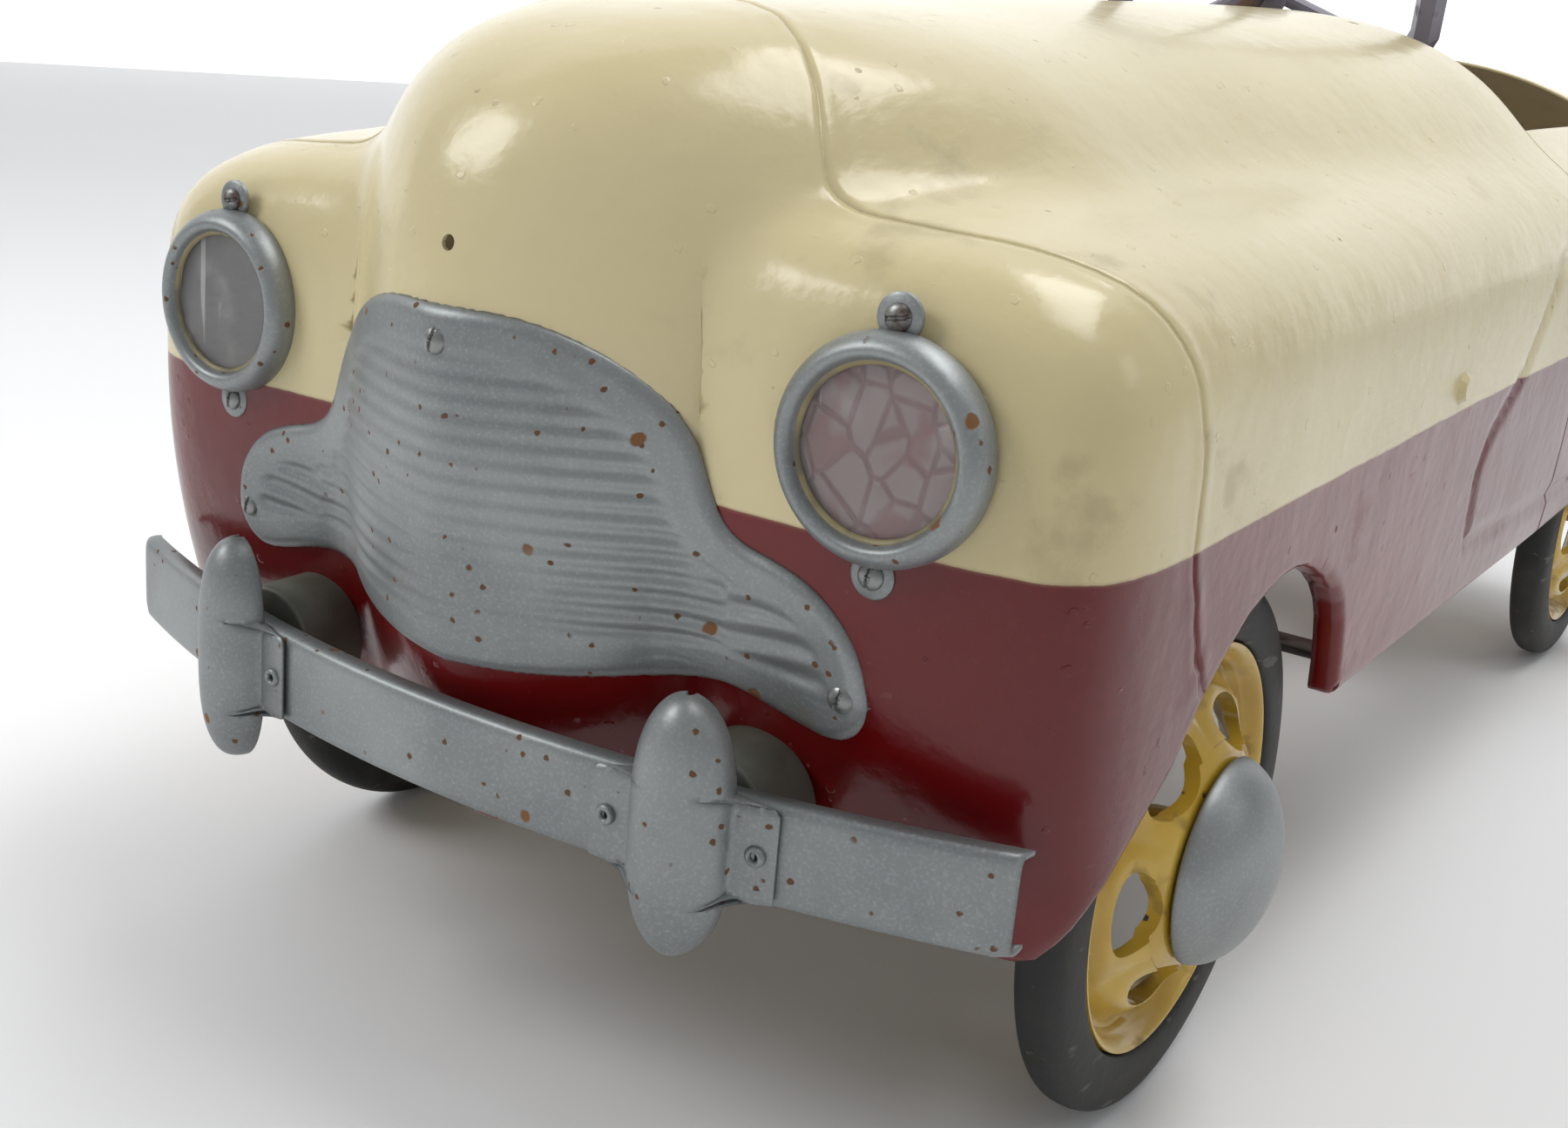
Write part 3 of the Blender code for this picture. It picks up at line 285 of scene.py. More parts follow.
def old_steel():
    steel = Finish("old_steel", roughness=0.5, metallic=0.8)
    rust = steel.noise(34, 5).ramp(0.42, 0.62)
    colour = steel.mix(rust, (0.13, 0.125, 0.12), (0.085, 0.040, 0.018))
    colour = steel.mix(steel.noise(160, 3).ramp(0.62, 0.7), colour, (0.17, 0.08, 0.03))
    height = steel.noise(120, 4) * (0.4 + rust)
    return steel.finish(colour, 0.42 + rust * 0.4, 0.85 - rust * 0.7, height, 0.0006, 0.6)


def screw_steel():
    steel = Finish("screw_steel", roughness=0.4, metallic=0.8)
    rust = steel.noise(90, 4).ramp(0.45, 0.6) * steel.up.ramp(0.285, 0.295)
    colour = steel.mix(rust, (0.26, 0.27, 0.26), (0.07, 0.028, 0.02))
    height = steel.noise(300, 3)
    return steel.finish(colour, 0.35 + rust * 0.4, 0.8 - rust * 0.6, height, 0.0004, 0.5)


def lamp_red():
    """What shows behind the near lens: red paint under a grey net of dried glue, like cracked mud."""
    red = Finish("lamp_backing_left", roughness=0.4)
    cell = red.cells(95, red.stretch((1, 1, 0.75)))
    seam = red.cells(95, red.stretch((1, 1, 0.75)), "DISTANCE_TO_EDGE")
    hatch = red.noise(900, 2, red.stretch((1, 1, 0.12)))
    glue = seam.ramp(0.03, 0.10) * (0.45 + hatch * 0.9)
    colour = red.mix(glue.least(0.85), (0.12, 0.03, 0.03), (0.20, 0.14, 0.14))
    colour = red.mix(red.noise(45, 2).ramp(0.52, 0.60) * 0.9, colour, (0.15, 0.03, 0.03))
    return red.finish(colour, 0.35, height=seam.ramp(0.0, 0.12) + cell * 0.3, depth=0.0012, strength=0.6)


# Painted reflection: the right-hand backing is painted dark grey to stand for the dark reflection in its
# lens, with pale scratches over it.
def lamp_painted_reflection():
    grey = Finish("lamp_backing_right_painted_reflection", roughness=0.5)
    colour = grey.mix(grey.noise(40, 4).ramp(0.4, 0.6), (0.045, 0.042, 0.045), (0.085, 0.08, 0.08))
    scratch = grey.noise(120, 2, grey.stretch((1, 1, 0.06))).ramp(0.70, 0.74)
    colour = grey.mix(scratch, colour, (0.35, 0.35, 0.35))
    return grey.finish(colour, 0.45, height=grey.noise(90, 3), depth=0.0005)


def lens():
    clear = Finish("lens", roughness=0.12, IOR=1.45)
    haze = clear.noise(60, 4).ramp(0.5, 0.8)
    scratch = clear.noise(260, 2, clear.stretch((1, 1, 0.08))).ramp(0.68, 0.72)
    clear.plug(0.10 + haze * 0.10 + scratch * 0.35, clear.shader.inputs["Alpha"])
    return clear.finish((0.72, 0.70, 0.68), 0.12 + scratch * 0.4)


def lip_yellow():
    old = Finish("aged_lip", roughness=0.5)
    colour = old.mix(old.noise(60, 4).ramp(0.4, 0.65), (0.30, 0.25, 0.12), (0.16, 0.14, 0.09))
    return old.finish(colour, 0.45, height=old.noise(200, 3), depth=0.0005)


def seat_red():
    paint = Finish("seat_red", Coat_Weight=0.2)
    red = paint.mix(paint.noise(8, 4).ramp(0.3, 0.7), (0.17, 0.005, 0.006), (0.25, 0.012, 0.012))
    worn = paint.noise(40, 5).ramp(0.60, 0.68) * paint.noise(6, 2).ramp(0.45, 0.6)
    red = paint.mix(worn * 0.7, red, (0.12, 0.05, 0.03))
    height = paint.noise(60, 3) - worn * 0.4
    return paint.finish(red, 0.25 + worn * 0.35, height=height, depth=0.0008, strength=0.5)


def wheel_grey():
    grey = Finish("steering_wheel_grey", roughness=0.3)
    colour = grey.mix(grey.noise(16, 4).ramp(0.35, 0.7), (0.21, 0.20, 0.25), (0.30, 0.29, 0.34))
    grime = grey.noise(80, 5).ramp(0.58, 0.70)
    colour = grey.mix(grime * 0.5, colour, (0.08, 0.07, 0.07))
    return grey.finish(colour, 0.28 + grime * 0.3, height=grey.noise(90, 3), depth=0.0004, strength=0.5)


def spacer_olive():
    paint = Finish("spacer_olive", roughness=0.5, metallic=0.2)
    colour = paint.mix(paint.noise(30, 4).ramp(0.4, 0.65), (0.13, 0.13, 0.10), (0.20, 0.20, 0.17))
    return paint.finish(colour, 0.5, height=paint.noise(80, 3), depth=0.0006, strength=0.5)


# Painted shade: a near-black disc in the hollow of each rivet stands for the shadow down the hole.
def painted_hole_shade():
    dark = Finish("painted_hole_shade", roughness=0.9)
    return dark.finish(dark.mix(dark.noise(60, 2), (0.004, 0.004, 0.004), (0.012, 0.010, 0.008)))


YELLOW, RUBBER, STEEL, SCREW = wheel_paint(), rubber(), old_steel(), screw_steel()
# The left backing is red under dried glue; the right one wears the painted reflection.
LAMP = {"left": lamp_red(), "right": lamp_painted_reflection()}
LENS, LIP_YELLOW, SEAT_RED, WHEEL_GREY = lens(), lip_yellow(), seat_red(), wheel_grey()
SPACER, HOLE_SHADE = spacer_olive(), painted_hole_shade()

# %% [markdown]
# A finish shows best on a shape that bends light the way pressed steel does, so the sheets are far finer
# than the frame's. `grid` lays out a flat grid and moves each of its points to where a function says, and
# `thicken` gives the sheet its depth. Turned parts start as one outline that spins about an axis.
# `rounded` cuts the corners off a rough outline first, as a press tool would.

# %% Building helpers
def as_mesh(name, bm):
    mesh = bpy.data.meshes.new(name)
    bm.to_mesh(mesh)
    bm.free()
    return mesh


def dress(name, bm, paint, body, slot, *stands_for, smooth=40):
    """Turns a bmesh drawn in place into a finished piece that rides on a CAD body."""
    mesh = as_mesh(name, bm)
    mesh.shade_smooth()
    mesh.set_sharp_from_angle(angle=math.radians(smooth))
    mesh.materials.append(paint)
    made = bpy.data.objects.new(name, mesh)
    bpy.context.scene.collection.objects.link(made)
    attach(made, body)
    if stands_for:
        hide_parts(*stands_for)
    return made


def apply_modifiers(made):
    graph = bpy.context.evaluated_depsgraph_get()
    evaluated = made.evaluated_get(graph)
    mesh = bpy.data.meshes.new_from_object(evaluated)
    made.modifiers.clear()
    made.data = mesh


def thicken(made, thickness):
    """Gives a sheet its depth, on the side away from its normals."""
    modifier = made.modifiers.new("sheet", "SOLIDIFY")
    modifier.thickness = thickness
    modifier.offset = -1


def grid(bm, columns, rows, place, turn=False):
    """A grid of points, each moved to place(u, v) with u and v from 0 to 1."""
    made = bmesh.ops.create_grid(bm, x_segments=columns, y_segments=rows, size=1.0)["verts"]
    for vertex in made:
        u, v = (vertex.co.x + 1) / 2, (vertex.co.y + 1) / 2
        vertex.co = place(u, v)
    faces = {face for vertex in made for face in vertex.link_faces}
    if turn:
        bmesh.ops.reverse_faces(bm, faces=list(faces))


def between(low, high, share):
    return low + (high - low) * share


def smooth_step(value, low, high):
    share = min(1, max(0, (value - low) / (high - low)))
    return share * share * (3 - 2 * share)


def follow(table, value):
    """Reads a table of (place, height) pairs, straight between them."""
    if value <= table[0][0]:
        return table[0][1]
    for (left, low), (right, high) in zip(table, table[1:]):
        if value <= right:
            return between(low, high, (value - left) / (right - left))
    return table[-1][1]


def rounded_end(distance, length, power):
    """1 at the thick end of a rounded nose, falling to 0 at its tip."""
    share = min(1, max(0, distance / length))
    return (1 - share**power) ** (1 / power)


def neighbours(points, closed):
    return list(zip(points, points[1:] + points[:1] if closed else points[1:]))


def rounded(outline, times=2, closed=True):
    """Cuts each corner off an outline, again and again."""
    for _ in range(times):
        found = []
        for one, two in neighbours(outline, closed):
            one, two = Vector(one), Vector(two)
            found += [tuple(one.lerp(two, 0.25)), tuple(one.lerp(two, 0.75))]
        outline = found if closed else [outline[0], *found, outline[-1]]
    return outline


def rod(bm, start, end, radius, sides=32):
    start, end = Vector(start), Vector(end)
    made = bmesh.ops.create_cone(
        bm, cap_ends=True, segments=sides, radius1=radius, radius2=radius, depth=(end - start).length
    )["verts"]
    bmesh.ops.rotate(bm, verts=made, matrix=(end - start).to_track_quat("Z", "Y").to_matrix())
    bmesh.ops.translate(bm, verts=made, vec=(start + end) / 2)
    return made


def turned(bm, outline, axis, sides=96, closed=True):
    """Spins (out, radius) points in millimetres about an axis, out being the distance along it."""
    verts = [bm.verts.new((radius * MM, 0, out * MM)) for out, radius in outline]
    edges = [bm.edges.new(pair) for pair in neighbours(verts, closed)]
    bmesh.ops.spin(
        bm, geom=verts + edges, axis=(0, 0, 1), cent=(0, 0, 0), angle=math.tau, steps=sides, use_merge=True
    )
    bmesh.ops.remove_doubles(bm, verts=bm.verts, dist=0.004 * MM)
    bmesh.ops.rotate(bm, verts=bm.verts, matrix=Vector(axis).to_track_quat("Z", "Y").to_matrix())
    bmesh.ops.recalc_face_normals(bm, faces=bm.faces)


def place(bm, where):
    bmesh.ops.translate(bm, verts=bm.verts, vec=where)


# %% [markdown]
# Two ovals make each cross-section above the paint line: a low wide one for the wings and a tall narrow one
# for the bonnet. The greater of the two wins, with a soft crease where they meet. Below the line the skirt
# tucks in towards its hem, and the hem rises over each wheel.

# %% The body's cross-sections
HALF_WIDTH, SHEET = 207 * MM, 1.6 * MM
SILL_Z, NOSE_SILL_Z, TUCK, NOSE_TUCK = 136 * MM, 104 * MM, 3 * MM, 30 * MM
WING_NOSE, BONNET_NOSE = 156 * MM, 192 * MM
WELD_Y, COWL_Y = FRONT_AXLE_Y - 95 * MM, FRONT_AXLE_Y + 425 * MM
COCKPIT_Y = REAR_AXLE_Y - 7 * MM
TAIL_LENGTH = 152 * MM
TAIL_CENTRE_Y = FRONT_AXLE_Y + 658 * MM
CENTRE_Z = 235 * MM  # of every cross-section
WING_POWER, BONNET_POWER, CREASE_POWER = 5, 2.8, 14


def body_shape(y):
    """The wing's and the bonnet's half-width and height, the sill's height and how far the sill lies back."""
    ahead, behind = FRONT_AXLE_Y - y, y - TAIL_CENTRE_Y
    widen, tail = smooth_step(y, FRONT_AXLE_Y, COWL_Y), smooth_step(y, COWL_Y, COCKPIT_Y)
    if ahead > 0:
        wing_plan, wing_side = rounded_end(ahead, WING_NOSE, 10), rounded_end(ahead, WING_NOSE, 6)
        plan, side = rounded_end(ahead, BONNET_NOSE, 1.75), rounded_end(ahead, BONNET_NOSE, 4)
    else:
        wing_plan, wing_side = rounded_end(behind, TAIL_LENGTH, 5), rounded_end(behind, TAIL_LENGTH, 4)
        plan, side = rounded_end(behind, TAIL_LENGTH, 3), rounded_end(behind, TAIL_LENGTH, 2.4)
    nose = 1 - smooth_step(y, FRONT_AXLE_Y - WING_NOSE, FRONT_AXLE_Y)
    wing = (HALF_WIDTH * wing_plan, (92 + 6 * tail) * MM * wing_side)
    bonnet = ((150 + 34 * widen) * MM * plan, (148 + 7 * widen - 23 * tail) * MM * side)
    sill = SILL_Z + (NOSE_SILL_Z - SILL_Z) * nose
    return wing, bonnet, sill, NOSE_TUCK * smooth_step(ahead, 100 * MM, WING_NOSE)


def oval(angle, half, top, power):
    if half < 1e-9 or top < 1e-9:
        return 0.0
    return (abs(math.cos(angle) / half) ** power + abs(math.sin(angle) / top) ** power) ** (-1 / power)


def body_point(y, angle):
    """A point of the outer surface above the centre; angle 0 is the side and a right angle the top."""
    wing_size, bonnet_size, _, _ = body_shape(y)
    wing, bonnet = oval(angle, *wing_size, WING_POWER), oval(angle, *bonnet_size, BONNET_POWER)
    reach = (wing**CREASE_POWER + bonnet**CREASE_POWER) ** (1 / CREASE_POWER) if max(wing, bonnet) > 0 else 0
    return Vector((reach * math.cos(angle), y, CENTRE_Z + reach * math.sin(angle)))


def skirt_point(y, z):
    _, _, sill, back = body_shape(y)
    share = (CENTRE_Z - z) / (CENTRE_Z - sill)
    half = body_point(y, 0).x
    return Vector((half - min(TUCK * share**3, half), y + back * share**2, z))


def front_y(x, z):
    """Where the nose's outer surface lies, straight ahead of a point given by x and z."""
    near, far = WELD_Y, FRONT_AXLE_Y - BONNET_NOSE
    share = max(0, (CENTRE_Z - z) / (CENTRE_Z - NOSE_SILL_Z))
    up = max(z, CENTRE_Z) - CENTRE_Z
    distance, angle = math.hypot(x, up), math.atan2(up, abs(x))
    for _ in range(40):
        middle = (near + far) / 2
        point = body_point(middle, angle)
        if math.hypot(point.x, point.z - CENTRE_Z) > distance:
            near = middle
        else:
            far = middle
    return near + body_shape(near)[3] * share**2


# The hem's height above the ground over each wheel, at distances behind the front axle, in millimetres
ARCH = [
    (-156, 101), (-148.7, 101), (-146.6, 105.4), (-142.8, 111.6), (-131.5, 124.6), (-116, 133.8),
    (-95.7, 147.4), (-75, 161.4), (-59, 179.4), (-45, 190), (-27.4, 200), (-10.8, 205), (3, 207.2),
    (16, 207.4), (30, 205.5), (44, 201), (58, 195), (70, 188), (80, 179.5), (87, 170.5), (92, 161),
    (98, 149), (104, 135),
]
REAR_ARCH = 109 * MM


def hem(y):
    """The height of the body's lower edge."""
    sill = body_shape(y)[2]
    behind = (y - FRONT_AXLE_Y) / MM
    if ARCH[0][0] < behind < ARCH[-1][0]:
        sill = max(sill, follow(ARCH, behind) * MM)
    away = abs(y - REAR_AXLE_Y)
    if away < REAR_ARCH:
        sill = max(sill, WHEEL_RADIUS + math.sqrt(REAR_ARCH**2 - away**2))
    return sill


def hem_normal(y):
    """The way out of the sheet at its hem, as Y and Z."""
    slope = (hem(y + 0.4 * MM) - hem(y - 0.4 * MM)) / (0.8 * MM)
    size = math.hypot(slope, 1)
    return slope / size, -1 / size


HEM_DEGREES = 38.6  # below the centre, the angle that stands for the hem


def weld_shift(angle):
    """How far back the weld lies: less down the crease, more over the crown and towards the hem."""
    degrees = math.degrees(angle)
    if degrees <= 0:
        return (6 - 39 * degrees / HEM_DEGREES) * MM
    return (6 - 36 * smooth_step(degrees, 0, 40) + 52 * smooth_step(degrees, 42, 90)) * MM


# The door's pressed outline on each side, as distance behind the front axle and height, in millimetres
DOOR = [
    [
        (262, 165), (257, 180), (254, 199), (262, 212), (276, 221), (303, 236), (328, 264), (348, 282),
        (372, 290),
    ],
    [(262, 165), (330, 161), (400, 158), (485, 155)],
]


def door_depth(y, z):
    """How far the side is pressed in near the door's outline."""
    point = Vector(((y - FRONT_AXLE_Y) / MM, z / MM))
    nearest = 99.0
    for line in DOOR:
        for one, two in zip(line, line[1:]):
            start, along = Vector(one), Vector(two) - Vector(one)
            share = min(1, max(0, (point - start).dot(along) / along.length_squared))
            nearest = min(nearest, (point - start - along * share).length)
    return 1.7 * MM * (1 - smooth_step(nearest, 1.0, 5.5))


ROLL, FLANGE = 2.6 * MM, 9 * MM  # the hem's bend and the lip inside it
LIP_ROW, BEND_ROW, HEM_ROW, LINE_ROW = 0.02, 0.04, 0.06, 0.3
DOOR_START_Y = COWL_Y - 180 * MM


def body_skin(y, row, top=90.0):
    """A point of the outer surface: row is 0 at the hem's inner lip, LINE_ROW at the centre and 1 on top."""
    if row > LINE_ROW:
        angle = math.radians(top) * (row - LINE_ROW) / (1 - LINE_ROW)
        point = body_point(y, angle)
        if DOOR_START_Y < y < COCKPIT_Y and point.z < 0.3:
            point.x -= door_depth(y, point.z)
        return point
    edge = hem(y)
    out_y, out_z = hem_normal(y)
    start = edge - out_z * ROLL
    if row > HEM_ROW:
        down = (LINE_ROW - row) / (LINE_ROW - HEM_ROW)
        z = between(CENTRE_Z, start, down)
        point = skirt_point(y, z)
        if y > DOOR_START_Y:
            point.x -= door_depth(y, z)
        return point + Vector((0, -out_y * ROLL * down**6, 0))
    turn = min(1, (HEM_ROW - row) / BEND_ROW) * math.radians(90)
    point = skirt_point(y, start)
    out, inward = ROLL * math.sin(turn), ROLL * (1 - math.cos(turn))
    inward += max(0, LIP_ROW - row) / LIP_ROW * (FLANGE - ROLL)
    inward = min(inward, max(0, point.x))
    return point + Vector((-inward, out_y * (out - ROLL), out_z * out))


ROWS = [0, 0.01, 0.02, 0.03, 0.04, 0.05, HEM_ROW]
ROWS += [between(HEM_ROW, LINE_ROW, i / 22) for i in range(1, 23)]
ROWS += [between(LINE_ROW, 1, i / 52) for i in range(1, 53)]
BEAD = 9 * MM  # half the width of the filler on the weld
CRACK = 0.3 * MM
print("a cross-section has", len(ROWS), "points on each side")


def body_sheet(name, stations, sides, node, shift=None, top=90.0):
    """A pressed sheet through the given stations. sides is 2 across the car, or 1 or -1 for one flank."""
    rows = ROWS if sides != 2 else ROWS + [2 - row for row in reversed(ROWS[:-1])]
    bm = bmesh.new()

    def place(u, v):
        y, row = stations[round(u * (len(stations) - 1))], rows[round(v * (len(rows) - 1))]
        side = 1 if row <= 1 else -1
        row = row if row <= 1 else 2 - row
        from_weld = abs(y - WELD_Y)
        if shift:
            y = shift(y, math.radians(90) * (row - LINE_ROW) / (1 - LINE_ROW))
        point = body_skin(y, row, top)
        if shift and from_weld < BEAD and row > 0.1:
            # A lumpy bead of filler on both sides of the weld, with a crack along its middle
            lump = 0.55 + 0.35 * math.sin(row * 83) * math.sin(row * 31)
            bead = lump * (1 - smooth_step(from_weld, 0, BEAD))
            point += (point - Vector((0, y, 0.2))).normalized() * (bead - 0.5 * (from_weld < CRACK)) * MM
        return Vector((point.x * side * (1 if sides == 2 else sides), point.y, point.z))

    grid(bm, len(stations) - 1, len(rows) - 1, place, turn=sides != -1)
    bmesh.ops.remove_doubles(bm, verts=bm.verts, dist=0.01 * MM)
    bmesh.ops.dissolve_degenerate(bm, edges=bm.edges, dist=0.004 * MM)
    made = dress(name, bm, BODY_PAINT, "car_body", "cream_and_red_paint", node, smooth=60)
    thicken(made, SHEET)
    print(name, "has", len(made.data.polygons), "faces")
    return made


def steps(low, high, size):
    count = max(1, round((high - low) / size))
    return [between(low, high, i / count) for i in range(count + 1)]


def shift_nose(y, angle):
    return y + weld_shift(angle) * smooth_step(y, FRONT_AXLE_Y - 146 * MM, WELD_Y)


def shift_bonnet(y, angle):
    return y + weld_shift(angle) * (1 - smooth_step(y, WELD_Y, FRONT_AXLE_Y + 150 * MM))


# %% [markdown]
# Each sheet is drawn through stations along the car. They crowd together where the wings turn into the
# face of the car and at the tip, because the surface turns fastest there.

# %% The body sheets
SEAM = 0.15 * MM  # half the gap between two sheets


def face_stations():
    """Stations that step evenly in across the wings' face, then out along the rounded tip."""
    widths = [206.4, 205.5, 204, 202, 200, 197, 193, 188, 182, 174, 164, 152, 140, 126, 112, 98, 84]
    found = [FRONT_AXLE_Y - WING_NOSE * (1 - (w * MM / HALF_WIDTH) ** 10) ** 0.1 for w in widths]
    start = math.asin(0.815)
    tip = [FRONT_AXLE_Y - BONNET_NOSE * math.sin(between(start, math.pi / 2, i / 30)) for i in range(31)]
    return sorted(tip + found)


first = face_stations()
nose_stations = first + steps(first[-1] + 1.2 * MM, WELD_Y - SEAM, 2.5 * MM)
NOSE = body_sheet("nose_skin", nose_stations, 2, "nose_pressing", shift_nose)
steep = steps(FRONT_AXLE_Y + 70 * MM, FRONT_AXLE_Y + 106 * MM, 1.0 * MM)
bonnet_stations = steps(WELD_Y + SEAM, FRONT_AXLE_Y + 69 * MM, 2.8 * MM) + steep
bonnet_stations += steps(FRONT_AXLE_Y + 108 * MM, COWL_Y - SEAM, 2.8 * MM)
BONNET = body_sheet("bonnet_skin", bonnet_stations, 2, "bonnet_and_wings", shift_bonnet)
side_stations = steps(COWL_Y + SEAM, COCKPIT_Y - SEAM, 2.4 * MM)
for name, side in SIDES:
    body_sheet(f"side_skin_{name}", side_stations, side, f"side_panel_{name}", top=32.0)
tip = [TAIL_CENTRE_Y + TAIL_LENGTH * math.sin(math.pi / 2 * i / 44) for i in range(45)]
tail_stations = [COCKPIT_Y + SEAM] + [y for y in tip if y > COCKPIT_Y + MM]
body_sheet("tail_skin", tail_stations, 2, "tail_pressing")

# %% [markdown]
# A few holes go right through the sheet. A Boolean cuts each one, and its result is kept as plain faces, so
# that every later pose shows the same mesh.

# %% Holes in the body
def cut_holes(made, draw):
    """Cuts the closed shapes that draw puts in a bmesh."""
    bm = bmesh.new()
    draw(bm)
    cutter = bpy.data.objects.new("cutter", as_mesh("cutter", bm))
    bpy.context.scene.collection.objects.link(cutter)
    hole = made.modifiers.new("holes", "BOOLEAN")
    hole.object, hole.solver = cutter, "EXACT"
    apply_modifiers(made)
    bpy.data.objects.remove(cutter)
    print(made.name, "has", len(made.data.polygons), "faces after its holes are cut")


def nose_holes(bm):
    y = FRONT_AXLE_Y - 188.6 * MM
    rod(bm, (0, y - 20 * MM, 306.9 * MM), (0, y + 30 * MM, 306.9 * MM), 2.6 * MM)


def bonnet_holes(bm):
    y = COWL_Y - 25 * MM
    rod(bm, (80 * MM, y, 0.34), (80 * MM, y, 0.42), 2.8 * MM)


cut_holes(NOSE, nose_holes)
cut_holes(BONNET, bonnet_holes)

# %% [markdown]
# The grille is pressed from one sheet. Two tables give its upper and lower edge at each width, and the
# distance from any point to that outline shapes the rest: a rounded rim, a flat border, then ribs. It hugs
# the nose, but bridges the crease where the bulge meets the wings. Its numbers are in millimetres.

# %% The grille
GRILLE_HALF = 141.5
GRILLE_TOP = [
    (0, 288), (20, 288), (34, 286), (49, 280.5), (61, 273), (72, 262.5), (79, 251), (83, 239), (88, 230),
    (96, 225), (108, 222.5), (121, 218), (131, 210), (138, 200), (141, 188), (GRILLE_HALF, 184),
]
GRILLE_FOOT = [
    (0, 167), (40, 169.5), (75, 175), (90, 176.5), (104, 174), (118, 170), (129, 168), (136, 171),
    (140, 176.5), (GRILLE_HALF, 183),
]
GRILLE_TOP, GRILLE_FOOT = rounded(GRILLE_TOP, 3, closed=False), rounded(GRILLE_FOOT, 3, closed=False)
RIM_WIDTH, RIM_HEIGHT = 5, 4.0
RIB_PITCH, WING_RIB_PITCH = 6.6, 9.5


def outline_points():
    """The outline of half the grille, as points at most half a millimetre apart."""
    corners = [Vector(point) for point in GRILLE_TOP + GRILLE_FOOT[::-1]]
    found = []
    for one, two in zip(corners, corners[1:]):
        count = max(1, math.ceil((two - one).length / 0.5))
        found += [one.lerp(two, i / count) for i in range(count)]
    return found


GRILLE_EDGE = outline_points()
GRILLE_TREE = KDTree(len(GRILLE_EDGE))
for number, point in enumerate(GRILLE_EDGE):
    GRILLE_TREE.insert((point.x, point.y, 0), number)
GRILLE_TREE.balance()
NOSE_DEPTHS = {}


def nose_depth(x, z):
    """front_y, looked up once for each square millimetre."""
    key = (round(abs(x) / MM), round(z / MM))
    if key not in NOSE_DEPTHS:
        NOSE_DEPTHS[key] = front_y(key[0] * MM, key[1] * MM)
    return NOSE_DEPTHS[key]


def grille_height(x, z):
    """How far the grille's face stands off the nose."""
    x = abs(x)
    _, _, edge = GRILLE_TREE.find((x, z, 0))
    rim = RIM_HEIGHT * math.sqrt(max(0, 1 - (1 - min(edge / RIM_WIDTH, 1)) ** 2))
    inside = smooth_step(edge, 11, 17)
    if x < 92:
        depth = 0.22 + 0.34 * smooth_step(x, 25, 60)
        ribs = depth * math.cos(math.tau * (z - 1.5 * math.sin(x / 40)) / RIB_PITCH)
    else:
        ribs = 0
    wing = smooth_step(x, 84, 100) * smooth_step(216 - z, 0, 8)
    wing_ribs = 0.75 * math.cos(math.tau * (z - 3 * math.sin((x - 90) / 22)) / WING_RIB_PITCH)
    ribs = ribs * (1 - wing) + wing * wing_ribs
    return rim + inside * (ribs - 0.9)


def grille_place(u, v):
    x = GRILLE_HALF * math.sin(math.pi * (u - 0.5))
    z = between(follow(GRILLE_FOOT, abs(x)) + 0.02, follow(GRILLE_TOP, abs(x)) - 0.02, v)
    base = front_y(abs(x) * MM, z * MM)
    near = [nose_depth((abs(x) + step) * MM, z * MM) for step in (-12, -8, -4, 0, 4, 8, 12)]
    base = min(base, sum(near) / len(near))
    return Vector((x * MM, base - (grille_height(x, z) + 0.6) * MM, z * MM))


bm = bmesh.new()
grid(bm, 260, 110, grille_place)
GRILLE = dress("grille_skin", bm, SILVER, "car_body", "silver_paint", "grille", smooth=70)
thicken(GRILLE, 1.0 * MM)
print("grille has", len(GRILLE.data.polygons), "faces")

# %% [markdown]
# A screw is a shallow dome. The points near its middle line are pushed in for the sawn slot.

# %% Screws
SLOT_HALF = 0.55 * MM


def dome(bm, centre, radius, rise, rings=12):
    """A shallow dome, in millimetres, that stands on centre and faces forwards."""
    turns = [math.pi / 2 * i / rings for i in range(rings + 1)]
    turned(bm, [(rise * math.sin(a), radius * math.cos(a)) for a in turns], (0, -1, 0), 40, closed=False)
    place(bm, centre)


def screw(name, x, z, face, radius, node, slot_turn):
    """A round-head screw in the front of the car, with its slot turned from upright."""
    bm = bmesh.new()
    dome(bm, (x, face, z), radius, radius * 0.55)
    along = Vector((math.sin(slot_turn), math.cos(slot_turn)))
    for vertex in bm.verts:
        aside = abs((vertex.co.x - x) * along.y - (vertex.co.z - z) * along.x)
        if aside < SLOT_HALF:
            vertex.co.y += min(radius * 0.22 * MM, max(0, face - vertex.co.y - 0.1 * MM))
    dress(name, bm, SCREW, "car_body", "dull_steel", node, smooth=30)


for label, x, z in (("top", 0, 276.6), ("left", 133.5, 184.8), ("right", -133.5, 184.8)):
    face = front_y(abs(x) * MM, z * MM) - 3.9 * MM
    screw(f"screw_grille_{label}", x * MM, z * MM, face, 4.6, f"grille_screw_{label}", 0.25)
print("three screws hold the grille")

# %% [markdown]
# Each headlamp is a pressed ring with two lugs, a flat lens in its lip and a painted disc behind.

